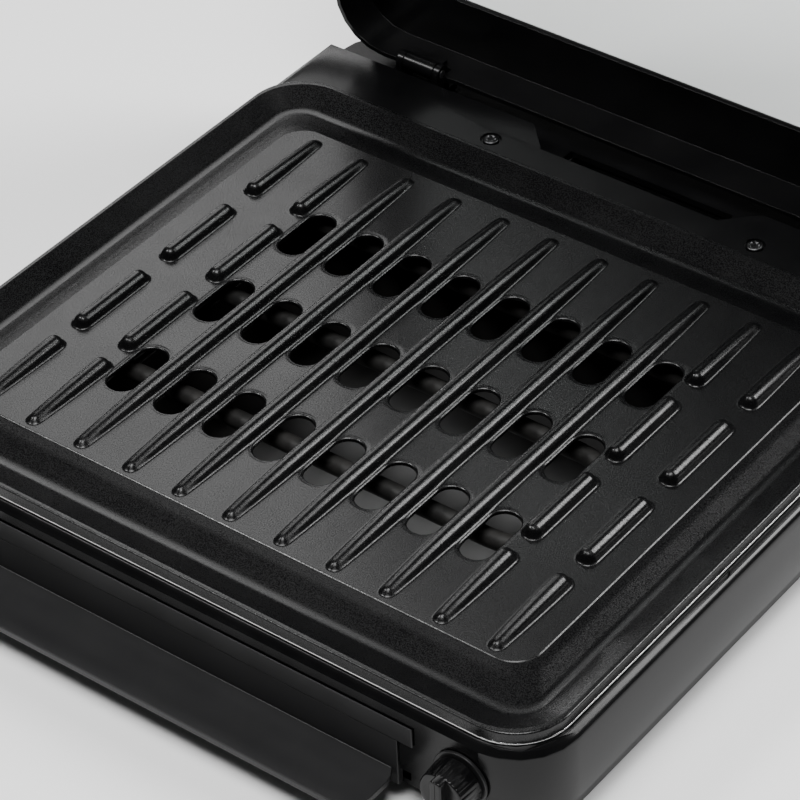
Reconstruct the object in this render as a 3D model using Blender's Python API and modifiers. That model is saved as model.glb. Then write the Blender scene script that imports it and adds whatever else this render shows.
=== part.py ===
"""Smokeless indoor grill: ribbed drip-through plate, tube heater, drip tray, smoke fan and glass lid.

Metres, +Z up. The front faces -Y. The origin is on the table, under the middle of the whole product.
Every piece is modelled round the middle slot of the plate, and one empty then moves them all.
"""
import math

import bmesh
import bpy
from mathutils import Matrix, Vector

# Driving dimensions
RIB_PITCH = 0.0250
PLATE_FLOOR_Z = 0.0540
TOUCH_GAP = 0.0003
RUN_GAP = 0.0006
OVERRUN = 0.0040

# Grill plate
PLATE_SHEET = 0.0018
SLOT_WIDTH = 0.0135
SLOT_LENGTH = 0.0307
SLOT_ROW_PITCH = 0.0549
SLOT_ROWS = 3
SLOT_COLUMNS = 8
LONG_RIB_COUNT = 7
DASHED_RIB_COUNT = 2
PLATEAU_MARGIN_X = 0.0155
PLATEAU_MARGIN_FRONT = 0.02595
PLATEAU_MARGIN_REAR = 0.03345
GUTTER_SLOPE_X = 0.0138
GUTTER_SLOPE_FRONT = 0.0190
GUTTER_SLOPE_REAR = 0.0137
RIM_SLOPE_X = 0.0119
RIM_SLOPE_FRONT = 0.0127
RIM_SLOPE_REAR = 0.0137
PLATEAU_HALF_X = ((LONG_RIB_COUNT - 1) / 2 + DASHED_RIB_COUNT) * RIB_PITCH + PLATEAU_MARGIN_X
PLATEAU_FRONT = SLOT_ROWS * SLOT_ROW_PITCH / 2 + PLATEAU_MARGIN_FRONT
PLATEAU_REAR = SLOT_ROWS * SLOT_ROW_PITCH / 2 + PLATEAU_MARGIN_REAR
PLATEAU_RADIUS = 0.0120
GUTTER_HALF_X = PLATEAU_HALF_X + GUTTER_SLOPE_X
GUTTER_FRONT = PLATEAU_FRONT + GUTTER_SLOPE_FRONT
GUTTER_REAR = PLATEAU_REAR + GUTTER_SLOPE_REAR
GUTTER_DROP = 0.0038
CREST_HALF_X = GUTTER_HALF_X + RIM_SLOPE_X
CREST_FRONT = GUTTER_FRONT + RIM_SLOPE_FRONT
CREST_REAR = GUTTER_REAR + RIM_SLOPE_REAR
CREST_RISE = 0.0018
CREST_RADIUS = 0.0240
FLANGE_WIDTH = 0.0024
RIB_WIDTH = 0.0088
RIB_HEIGHT = 0.0040
RIB_ROOT = 0.0006
RIB_INSET_FRONT = 0.0018
RIB_INSET_REAR = 0.0048
RIB_FRONT = PLATEAU_FRONT - RIB_INSET_FRONT
RIB_REAR = PLATEAU_REAR - RIB_INSET_REAR
RIB_RAMP = 0.0500
RIB_END = 0.0028
RIB_TIP_HEIGHT_SHARE = 0.42
RIB_TIP_WIDTH_SHARE = 0.72
RIB_SHOULDER_SHARE = 0.30
RIB_SHOULDER_RISE_SHARE = 0.80
DASH_BREAK_SHARES = (-1.047, -0.911, -0.082, 0.100, 0.938, 1.120)
DASH_BREAKS = tuple(place * SLOT_ROW_PITCH for place in DASH_BREAK_SHARES)

# Housing
HOUSING_MARGIN_X = 0.0073
HOUSING_MARGIN_FRONT = 0.0055
HOUSING_MARGIN_REAR = 0.0718
HOUSING_HALF_X = CREST_HALF_X + HOUSING_MARGIN_X
HOUSING_FRONT = CREST_FRONT + HOUSING_MARGIN_FRONT
HOUSING_REAR = CREST_REAR + HOUSING_MARGIN_REAR
HOUSING_BOTTOM_Z = 0.0180
HOUSING_TOP_Z = 0.0500
HOUSING_RADIUS = 0.0260
HOUSING_EDGE = 0.0020
HOUSING_WALL = 0.0030
SIDE_WALL = 0.0055
RIM_RECESS = 0.0012
WELL_REAR_WALL = 0.0020
LEDGE_RUN = 0.0358
LEDGE_REAR = CREST_REAR + LEDGE_RUN
DECK_Z = 0.0400
NOTCH_HALF_X = 0.0462
NOTCH_DEPTH = 0.0140
NOTCH_FRONT = LEDGE_REAR - NOTCH_DEPTH
NOTCH_FLARE = 0.0130
INTAKE_SHY = 0.0042
INTAKE_HALF_X = NOTCH_HALF_X - INTAKE_SHY
INTAKE_INSET = 0.0030
INTAKE_LENGTH = 0.0150
INTAKE_FRONT = NOTCH_FRONT + INTAKE_INSET
INTAKE_REAR = INTAKE_FRONT + INTAKE_LENGTH
FINGER_LENGTH = 0.0080
FINGER_DEPTH = 0.0022
FINGER_Y = -0.0205
LEDGE_SCREW_RUN = 0.0216
LEDGE_SCREW_X = NOTCH_HALF_X + LEDGE_SCREW_RUN
LEDGE_SCREW_INSET = 0.0200
LEDGE_SCREW_Y = LEDGE_REAR - LEDGE_SCREW_INSET
LEDGE_SCREW_LENGTH = 0.0100
COUNTERBORE_RADIUS = 0.0048
COUNTERBORE_DEPTH = 0.0012

# Plinth, feet and screws
PLINTH_INSET = 0.0060
PLINTH_WALL = 0.0025
PLINTH_BOTTOM_Z = 0.0040
FOOT_RADIUS = 0.0090
FOOT_TAPER = 0.0012
FOOT_INSET_X = 0.0355
FOOT_INSET_FRONT = 0.0305
FOOT_INSET_REAR = 0.0270
FOOT_X = HOUSING_HALF_X - FOOT_INSET_X
FOOT_FRONT = HOUSING_FRONT - FOOT_INSET_FRONT
FOOT_REAR = HOUSING_REAR - FOOT_INSET_REAR
BOSS_RADIUS = 0.0052
BOSS_INSET_X = 0.0165
BOSS_INSET_FRONT = 0.0255
BOSS_INSET_REAR = 0.0220
BOSS_X = HOUSING_HALF_X - BOSS_INSET_X
BOSS_FRONT = HOUSING_FRONT - BOSS_INSET_FRONT
BOSS_REAR = HOUSING_REAR - BOSS_INSET_REAR
BOSS_TOP_Z = 0.0310
SCREW_RADIUS = 0.0016
SCREW_HEAD_RADIUS = 0.0036
SCREW_HEAD = 0.0015
SCREW_LENGTH = 0.0160

# Heat liner and heater
LINER_SHEET = 0.0008
LINER_SHY = 0.0007
LINER_SHY_FRONT = 0.0015
LINER_HALF_X = CREST_HALF_X - LINER_SHY
LINER_FRONT = CREST_FRONT - LINER_SHY_FRONT
LINER_REAR = CREST_REAR - LINER_SHY
LINER_HIP_Z = 0.0378
HOPPER_SLOPE_X = 0.0525
HOPPER_SLOPE_FRONT = 0.0145
HOPPER_SLOPE_REAR = 0.0625
HOPPER_HALF_X = LINER_HALF_X - HOPPER_SLOPE_X
HOPPER_FRONT = LINER_FRONT - HOPPER_SLOPE_FRONT
HOPPER_REAR = LINER_REAR - HOPPER_SLOPE_REAR
HOPPER_Z = 0.0345
HEATER_RADIUS = 0.0040
HEATER_Z = 0.0424
HEATER_INSET = 0.0155
HEATER_INSET_RIGHT = 0.0305
HEATER_EXIT_REACH = 0.0015
HEATER_REAR_INSET = 0.0395
HEATER_TAIL = 0.0135
HEATER_LEFT = PLATEAU_HALF_X - HEATER_INSET
HEATER_RIGHT = PLATEAU_HALF_X - HEATER_INSET_RIGHT
HEATER_ENTRY_X = PLATEAU_HALF_X - HEATER_INSET
HEATER_EXIT_X = PLATEAU_HALF_X + HEATER_EXIT_REACH
HEATER_RUN_COUNT = 4
HEATER_FRONT_INSET = 0.0010
HEATER_FIRST_RUN = PLATEAU_REAR - HEATER_REAR_INSET
HEATER_RUN_PITCH = (PLATEAU_FRONT + PLATEAU_REAR - HEATER_REAR_INSET - HEATER_FRONT_INSET) / (HEATER_RUN_COUNT - 1)
HEATER_TAIL_Y = LINER_REAR + HEATER_TAIL
SUPPORT_WIDTH = 0.0050
TERMINAL_DEPTH = 0.0110

# Drip tray
TRAY_SHY = 0.0025
TRAY_REAR_MARGIN = 0.0060
TRAY_HALF_X = HOPPER_HALF_X - TRAY_SHY
TRAY_WALL = 0.0016
TRAY_REAR = HOPPER_REAR + TRAY_REAR_MARGIN
TRAY_FLOOR_Z = 0.0085
TRAY_TOP_Z = 0.0312
TRAY_RADIUS = 0.0080
TRAY_DRAFT = 0.0040
MOUTH_CLEARANCE = 0.0012
MOUTH_TOP_Z = 0.0322
LIP_REACH = 0.0265
LIP_THICK = 0.0030
LIP_TOP_Z = 0.0160
LIP_RADIUS = 0.0100
RAIL_WIDTH = 0.0030
RAIL_TOP_Z = 0.0170
RAIL_SHELF = 0.0130
TRIM_BOTTOM_Z = 0.0326
TRIM_TOP_Z = 0.0416
TRIM_THICK = 0.0009
TRIM_MARGIN = 0.0080
TRIM_HALF_X = TRAY_HALF_X + TRIM_MARGIN

# Front controls
KNOB_INSET = 0.0335
KNOB_X = HOUSING_HALF_X - KNOB_INSET
CONTROL_Z = 0.0300
KNOB_RADIUS = 0.0108
KNOB_LENGTH = 0.0140
KNOB_GRIP_WIDTH = 0.0050
KNOB_GRIP_RISE = 0.0035
KNOB_DISC = 0.0030
BEZEL_RADIUS = 0.0120
BEZEL_THICK = 0.0014
SHAFT_RADIUS = 0.0025
SHAFT_ENGAGE = 0.0060
THERMOSTAT_WIDTH = 0.0240
THERMOSTAT_DEPTH = 0.0170
THERMOSTAT_BOTTOM_Z = 0.0200
THERMOSTAT_TOP_Z = 0.0334
SWITCH_INSET = 0.0315
SWITCH_X = SWITCH_INSET - HOUSING_HALF_X
SWITCH_WIDTH = 0.0160
SWITCH_HEIGHT = 0.0220
SWITCH_DEPTH = 0.0060
SWITCH_FLANGE = 0.0018
SWITCH_FLANGE_THICK = 0.0012
ROCKER_WIDTH = 0.0110
ROCKER_HEIGHT = 0.0160
ROCKER_DEPTH = 0.0080
ROCKER_PROUD = 0.0030
ROCKER_DISH = 0.0012
ROCKER_TILT = math.radians(9.0)
LENS_INSET = 0.0485
LENS_X = LENS_INSET - HOUSING_HALF_X
LENS_RADIUS = 0.0025
LENS_LENGTH = 0.0070
LENS_PROUD = 0.0008

# Smoke fan
FAN_INSET = 0.0230
FAN_Y = HOUSING_REAR - FAN_INSET
FAN_Z = 0.0225
FAN_RADIUS = 0.0115
FAN_HALF_LENGTH = 0.0410
FAN_BLADES = 14
FAN_BLADE_SHARES = ((0.62, 0.0), (1.0, 0.35), (1.0, 0.55), (0.62, 0.45))
FAN_SHAFT_RADIUS = 0.0020
SCROLL_GAP = 0.0022
SCROLL_SHEET = 0.0012
SCROLL_START = math.radians(165.0)
SCROLL_END = math.radians(318.0)
CHEEK_THICK = 0.0020
CHEEK_HALF_DEPTH = 0.0130
CHEEK_TOP_Z = 0.0362
MOTOR_RADIUS = 0.0115
MOTOR_LENGTH = 0.0260
MOTOR_NECK = 0.0020
GRILLE_HALF_X = 0.0520
GRILLE_BOTTOM_Z = 0.0200
GRILLE_TOP_Z = 0.0350
GRILLE_BAR = 0.0030
GRILLE_SLOT = 0.0045
GRILLE_BORDER = 0.0025
INLET_INSET = 0.0535
INLET_X = HOUSING_HALF_X - INLET_INSET
INLET_WIDTH = 0.0280
INLET_HEIGHT = 0.0150
INLET_DEPTH = 0.0170
INLET_WALL = 0.0022
INLET_FLOOR = 0.0050
INLET_PIN_RADIUS = 0.0014
INLET_PIN_LENGTH = 0.0080
INLET_PIN_PITCH = 0.0080
INLET_Z = 0.0275

# Lid, modelled closed round its hinge line and then stood open
HINGE_INSET = 0.0295
HINGE_Y = HOUSING_REAR - HINGE_INSET
HINGE_Z = 0.0515
LID_OPEN_ANGLE = math.radians(90.0)
LID_SHY = 0.0005
LID_SHY_FRONT = 0.0003
LID_BEHIND_HINGE = 0.0025
LID_HALF_X = HOUSING_HALF_X - LID_SHY
LID_FRONT = HOUSING_FRONT - LID_SHY_FRONT
LID_REAR = HINGE_Y + LID_BEHIND_HINGE
LID_RIM_Z = 0.0510
LID_HEIGHT = 0.0260
LID_SKIRT = 0.0022
LID_EDGE = 0.0030
LID_RADIUS = 0.0260
LID_BORDER = 0.0250
LID_BORDER_FRONT = 0.0330
LID_BORDER_REAR = 0.0300
LID_FLANGE = 0.0075
GLASS_THICK = 0.0036
GLASS_LAP = 0.0070
GLASS_RADIUS = 0.0120
GASKET_THICK = 0.0008
HANDLE_HALF_X = 0.0620
HANDLE_RISE = 0.0240
HANDLE_BAR_RADIUS = 0.0058
HANDLE_BEND = 0.0140
HANDLE_SETBACK = 0.0140
BARREL_INSET = 0.0480
BARREL_X = LID_HALF_X - BARREL_INSET
BARREL_HALF_LENGTH = 0.0080
BARREL_RADIUS = 0.0042
BARREL_BORE = 0.0022
EAR_THICK = 0.0030
EAR_GAP = 0.0005
HINGE_PIN_RADIUS = 0.0020
HINGE_NOTCH = 0.0060
HINGE_WEB_THICK = 0.0044
HINGE_WEB_START = 0.0030
BRACKET_FOOT = 0.0016
BRACKET_REACH = 0.0060

ARC_STEPS = 5
ROUND_STEPS = 20

FRONT_REACH = HOUSING_FRONT + LIP_REACH
REAR_REACH = HINGE_Y + LID_RIM_Z + LID_HEIGHT - HINGE_Z + HANDLE_RISE + HANDLE_BAR_RADIUS
ORIGIN_Y = (REAR_REACH - FRONT_REACH) / 2

FINISHES = {
    "satin_coating": ((0.030, 0.030, 0.032, 1.0), 0.38, 0.30),
    "black_moulding": ((0.018, 0.018, 0.019, 1.0), 0.42, 0.0),
    "grey_moulding": ((0.080, 0.080, 0.082, 1.0), 0.40, 0.0),
    "rubber": ((0.020, 0.020, 0.020, 1.0), 0.85, 0.0),
    "bright_sheet": ((0.55, 0.55, 0.55, 1.0), 0.35, 1.0),
    "pale_aluminium": ((0.62, 0.62, 0.62, 1.0), 0.45, 1.0),
    "steel": ((0.45, 0.45, 0.46, 1.0), 0.30, 1.0),
    "heater_sheath": ((0.16, 0.15, 0.14, 1.0), 0.50, 1.0),
    "glass": ((0.75, 0.78, 0.78, 0.35), 0.05, 0.0),
    "lamp_red": ((0.50, 0.03, 0.02, 1.0), 0.20, 0.0),
    "ceramic": ((0.62, 0.58, 0.50, 1.0), 0.60, 0.0),
    "motor_can": ((0.35, 0.35, 0.36, 1.0), 0.35, 1.0),
}


def clear_scene():
    """Remove every object that the open file holds."""
    for item in list(bpy.data.objects):
        bpy.data.objects.remove(item, do_unlink=True)


def make_collection(name):
    """Return a new collection linked to the scene."""
    group = bpy.data.collections.new(name)
    bpy.context.scene.collection.children.link(group)
    return group


def make_finishes():
    """Return one Principled material for each finish."""
    made = {}
    for name, (colour, roughness, metallic) in FINISHES.items():
        material = bpy.data.materials.new(name)
        material.use_nodes = True
        shader = material.node_tree.nodes["Principled BSDF"]
        shader.inputs["Base Color"].default_value = colour
        shader.inputs["Roughness"].default_value = roughness
        shader.inputs["Metallic"].default_value = metallic
        shader.inputs["Alpha"].default_value = colour[3]
        material.diffuse_color = colour
        made[name] = material
    return made


clear_scene()
PARTS = make_collection("smokeless_indoor_grill")
CUTTERS = make_collection("cutters")
MATERIALS = make_finishes()


def rectangle(x0, x1, y0, y1):
    """Return the outline of a plain rectangle."""
    return [(x1, y1), (x0, y1), (x0, y0), (x1, y0)]


def rounded_rectangle(x0, x1, y0, y1, radius):
    """Return the outline of a rectangle with round corners, anticlockwise."""
    outline = []
    for quarter, (x, y) in enumerate(rectangle(x0, x1, y0, y1)):
        centre_x = x - math.copysign(radius, x - (x0 + x1) / 2)
        centre_y = y - math.copysign(radius, y - (y0 + y1) / 2)
        for step in range(ARC_STEPS + 1):
            angle = math.pi / 2 * (quarter + step / ARC_STEPS)
            outline.append((centre_x + radius * math.cos(angle), centre_y + radius * math.sin(angle)))
    return outline


def link_mesh(name, bm, finish=None):
    """Put a bmesh into a new object, as a part where it has a finish and as a cutter where it has none."""
    bmesh.ops.recalc_face_normals(bm, faces=bm.faces)
    mesh = bpy.data.meshes.new(name)
    bm.to_mesh(mesh)
    bm.free()
    item = bpy.data.objects.new(name, mesh)
    if finish is None:
        CUTTERS.objects.link(item)
        item.hide_render = True
        item.display_type = "WIRE"
    else:
        PARTS.objects.link(item)
        mesh.materials.append(MATERIALS[finish])
    return item


def loft(name, rings, finish=None, cyclic=False):
    """Skin a row of outlines, each (points, z), and cap its ends or join the last ring to the first."""
    bm = bmesh.new()
    rows = [[bm.verts.new((x, y, z)) for x, y in outline] for outline, z in rings]
    pairs = list(zip(rows, rows[1:]))
    if cyclic:
        pairs.append((rows[-1], rows[0]))
    for low, high in pairs:
        count = len(low)
        for k in range(count):
            bm.faces.new((low[k], low[(k + 1) % count], high[(k + 1) % count], high[k]))
    if not cyclic:
        bm.faces.new(rows[0])
        bm.faces.new(rows[-1])
    return link_mesh(name, bm, finish)


def prism(name, outline, low, high, finish=None, axis="Z"):
    """Extrude an outline from low to high along Z, Y or X."""
    item = loft(name, [(outline, low), (outline, high)], finish)
    # An outline for Y is (x, z) and an outline for X is (y, z)
    turn = {
        "Z": Matrix.Identity(4),
        "Y": Matrix(((1, 0, 0, 0), (0, 0, 1, 0), (0, 1, 0, 0), (0, 0, 0, 1))),
        "X": Matrix(((0, 0, 1, 0), (1, 0, 0, 0), (0, 1, 0, 0), (0, 0, 0, 1))),
    }[axis]
    item.data.transform(turn)
    if turn.determinant() < 0:
        item.data.flip_normals()
    return item


def box(name, x, y, z, finish=None):
    """Return a box between three pairs of limits."""
    bm = bmesh.new()
    bmesh.ops.create_cube(bm, size=1.0)
    size = Vector((x[1] - x[0], y[1] - y[0], z[1] - z[0]))
    middle = Vector((x[1] + x[0], y[1] + y[0], z[1] + z[0])) / 2
    bmesh.ops.transform(bm, matrix=Matrix.Translation(middle) @ Matrix.Diagonal(size.to_4d()), verts=bm.verts)
    return link_mesh(name, bm, finish)


def rod(name, start, end, radius, finish=None, end_radius=None, steps=ROUND_STEPS):
    """Return a round bar or cone between two points."""
    run = Vector(end) - Vector(start)
    bm = bmesh.new()
    bmesh.ops.create_cone(
        bm, cap_ends=True, segments=steps, radius1=radius,
        radius2=radius if end_radius is None else end_radius, depth=run.length)
    turn = run.to_track_quat("Z", "Y").to_matrix().to_4x4()
    bmesh.ops.transform(bm, matrix=Matrix.Translation((Vector(start) + Vector(end)) / 2) @ turn, verts=bm.verts)
    return link_mesh(name, bm, finish)


def combine(item, other, operation="DIFFERENCE"):
    """Add a Boolean modifier with the exact solver."""
    modifier = item.modifiers.new(operation.lower() + "_" + other.name, "BOOLEAN")
    modifier.operation = operation
    modifier.solver = "EXACT"
    modifier.object = other
    return item


def cut_box(item, name, x, y, z):
    """Cut a box out of a piece."""
    return combine(item, box(name, x, y, z))


def fillet_path(points, radius):
    """Return a path whose inner corners are arcs of one radius, or of half the shorter leg."""
    path = [Vector(points[0])]
    for before, corner, after in zip(points, points[1:], points[2:]):
        corner = Vector(corner)
        back = Vector(before) - corner
        ahead = Vector(after) - corner
        reach = min(radius, back.length / 2, ahead.length / 2)
        first = corner + back.normalized() * reach
        last = corner + ahead.normalized() * reach
        centre = first + last - corner
        for step in range(ARC_STEPS + 1):
            angle = 0.5 * math.pi * step / ARC_STEPS
            point = centre + (first - centre) * math.cos(angle) + (last - centre) * math.sin(angle)
            if (point - path[-1]).length > radius / (4 * ARC_STEPS):
                path.append(point)
    path.append(Vector(points[-1]))
    return path


def tube(name, path, radius, finish, resolution=2):
    """Return a round tube along a path, with filled ends."""
    curve = bpy.data.curves.new(name, "CURVE")
    curve.dimensions = "3D"
    curve.bevel_depth = radius
    curve.bevel_resolution = resolution
    curve.use_fill_caps = True
    spline = curve.splines.new("POLY")
    spline.points.add(len(path) - 1)
    for point, place in zip(spline.points, path):
        point.co = (*place, 1.0)
    curve.materials.append(MATERIALS[finish])
    item = bpy.data.objects.new(name, curve)
    PARTS.objects.link(item)
    return item


def bevel(item, width, segments=2, angle=math.radians(50.0)):
    """Round the sharp edges of a piece."""
    modifier = item.modifiers.new("rounded_edges", "BEVEL")
    modifier.width = width
    modifier.segments = segments
    modifier.limit_method = "ANGLE"
    modifier.angle_limit = angle
    return item


def smooth(item, angle=math.radians(35.0)):
    """Shade the round faces of a mesh piece smooth."""
    item.data.shade_smooth()
    item.data.set_sharp_from_angle(angle=angle)
    return item


def plate_ring(half_x, front, rear, radius, z):
    """Return one ring of a plate or frame, as an outline and its height."""
    return rounded_rectangle(-half_x, half_x, -front, rear, radius), z


def rib_section(x, y, height, width):
    """Return the points across a rib: a sunk root, straight flanks and a round crown."""
    half = width / 2
    shoulder = width * RIB_SHOULDER_SHARE
    rise = height * RIB_SHOULDER_RISE_SHARE
    profile = ((-half, -RIB_ROOT), (-half, 0.0), (-shoulder, rise), (0.0, height), (shoulder, rise),
               (half, 0.0), (half, -RIB_ROOT))
    return [(x + across, y, PLATE_FLOOR_Z + up) for across, up in profile]


def rib_share(y):
    """Return how full a rib is at y: it ramps up from both ends of the plate."""
    inset = min(y + RIB_FRONT, RIB_REAR - y)
    return min(1.0, max(0.0, inset / RIB_RAMP))


def add_rib(bm, x, start, end):
    """Loft one rib along Y into a bmesh, with steep rounded ends."""
    places = [start, start + RIB_END]
    places += [edge for edge in (RIB_RAMP - RIB_FRONT, RIB_REAR - RIB_RAMP) if start + RIB_END < edge < end - RIB_END]
    places += [end - RIB_END, end]
    rows = []
    for place in places:
        share = rib_share(place)
        height = RIB_HEIGHT * (RIB_TIP_HEIGHT_SHARE + (1.0 - RIB_TIP_HEIGHT_SHARE) * share)
        width = RIB_WIDTH * (RIB_TIP_WIDTH_SHARE + (1.0 - RIB_TIP_WIDTH_SHARE) * share)
        if place in (start, end):
            height *= RIB_TIP_HEIGHT_SHARE / 2
            width *= RIB_TIP_WIDTH_SHARE
        rows.append([bm.verts.new(point) for point in rib_section(x, place, height, width)])
    for low, high in zip(rows, rows[1:]):
        count = len(low)
        for k in range(count):
            bm.faces.new((low[k], low[(k + 1) % count], high[(k + 1) % count], high[k]))
    bm.faces.new(rows[0])
    bm.faces.new(rows[-1])


def build_plate():
    """Make the grill plate: raised floor, sloped gutter, turned rim, ribs and drip slots."""
    sheet = PLATE_SHEET
    floor = PLATE_FLOOR_Z
    crest = floor + CREST_RISE
    skirt = HOUSING_TOP_Z + TOUCH_GAP
    outer = FLANGE_WIDTH
    inner = FLANGE_WIDTH - PLATE_SHEET
    gutter = floor - GUTTER_DROP
    rings = [
        plate_ring(PLATEAU_HALF_X, PLATEAU_FRONT, PLATEAU_REAR, PLATEAU_RADIUS, floor - sheet),
        plate_ring(GUTTER_HALF_X, GUTTER_FRONT, GUTTER_REAR, PLATEAU_RADIUS, gutter - sheet),
        plate_ring(CREST_HALF_X, CREST_FRONT, CREST_REAR, CREST_RADIUS, crest - sheet),
        plate_ring(CREST_HALF_X + inner, CREST_FRONT + inner, CREST_REAR + inner, CREST_RADIUS, skirt),
        plate_ring(CREST_HALF_X + outer, CREST_FRONT + outer, CREST_REAR + outer, CREST_RADIUS, skirt),
        plate_ring(CREST_HALF_X + outer, CREST_FRONT + outer, CREST_REAR + outer, CREST_RADIUS, crest - sheet),
        plate_ring(CREST_HALF_X + inner, CREST_FRONT + inner, CREST_REAR + inner, CREST_RADIUS, crest),
        plate_ring(CREST_HALF_X, CREST_FRONT, CREST_REAR, CREST_RADIUS, crest),
        plate_ring(GUTTER_HALF_X, GUTTER_FRONT, GUTTER_REAR, PLATEAU_RADIUS, gutter),
        plate_ring(PLATEAU_HALF_X, PLATEAU_FRONT, PLATEAU_REAR, PLATEAU_RADIUS, floor),
    ]
    plate = loft("grill_plate", rings, "satin_coating")
    ribs = bmesh.new()
    middle = (LONG_RIB_COUNT - 1) / 2
    for k in range(LONG_RIB_COUNT):
        add_rib(ribs, (k - middle) * RIB_PITCH, -RIB_FRONT, RIB_REAR)
    dash_ends = (-RIB_FRONT, *DASH_BREAKS, RIB_REAR)
    for column in (middle + 1 + k for k in range(DASHED_RIB_COUNT)):
        for side in (-1, 1):
            for start, end in zip(dash_ends[::2], dash_ends[1::2]):
                add_rib(ribs, side * column * RIB_PITCH, start, end)
    combine(plate, link_mesh("rib_shapes", ribs), "UNION")
    slots = bmesh.new()
    reach = (SLOT_LENGTH - SLOT_WIDTH) / 2
    for row in range(-(SLOT_ROWS // 2), SLOT_ROWS // 2 + 1):
        for column in range(SLOT_COLUMNS):
            x = (column - (SLOT_COLUMNS - 1) / 2) * RIB_PITCH
            outline = []
            for end, turn in ((1, 0.0), (-1, 1.0)):
                for step in range(ARC_STEPS + 1):
                    angle = math.pi * (turn + step / ARC_STEPS)
                    outline.append((x + SLOT_WIDTH / 2 * math.cos(angle),
                                    row * SLOT_ROW_PITCH + end * reach + SLOT_WIDTH / 2 * math.sin(angle)))
            low = slots.faces.new([slots.verts.new((a, b, floor - OVERRUN)) for a, b in outline])
            made = bmesh.ops.extrude_face_region(slots, geom=[low])
            lifted = [part for part in made["geom"] if isinstance(part, bmesh.types.BMVert)]
            bmesh.ops.translate(slots, verts=lifted, vec=(0.0, 0.0, OVERRUN + RIB_HEIGHT))
    combine(plate, link_mesh("slot_shapes", slots))


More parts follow.
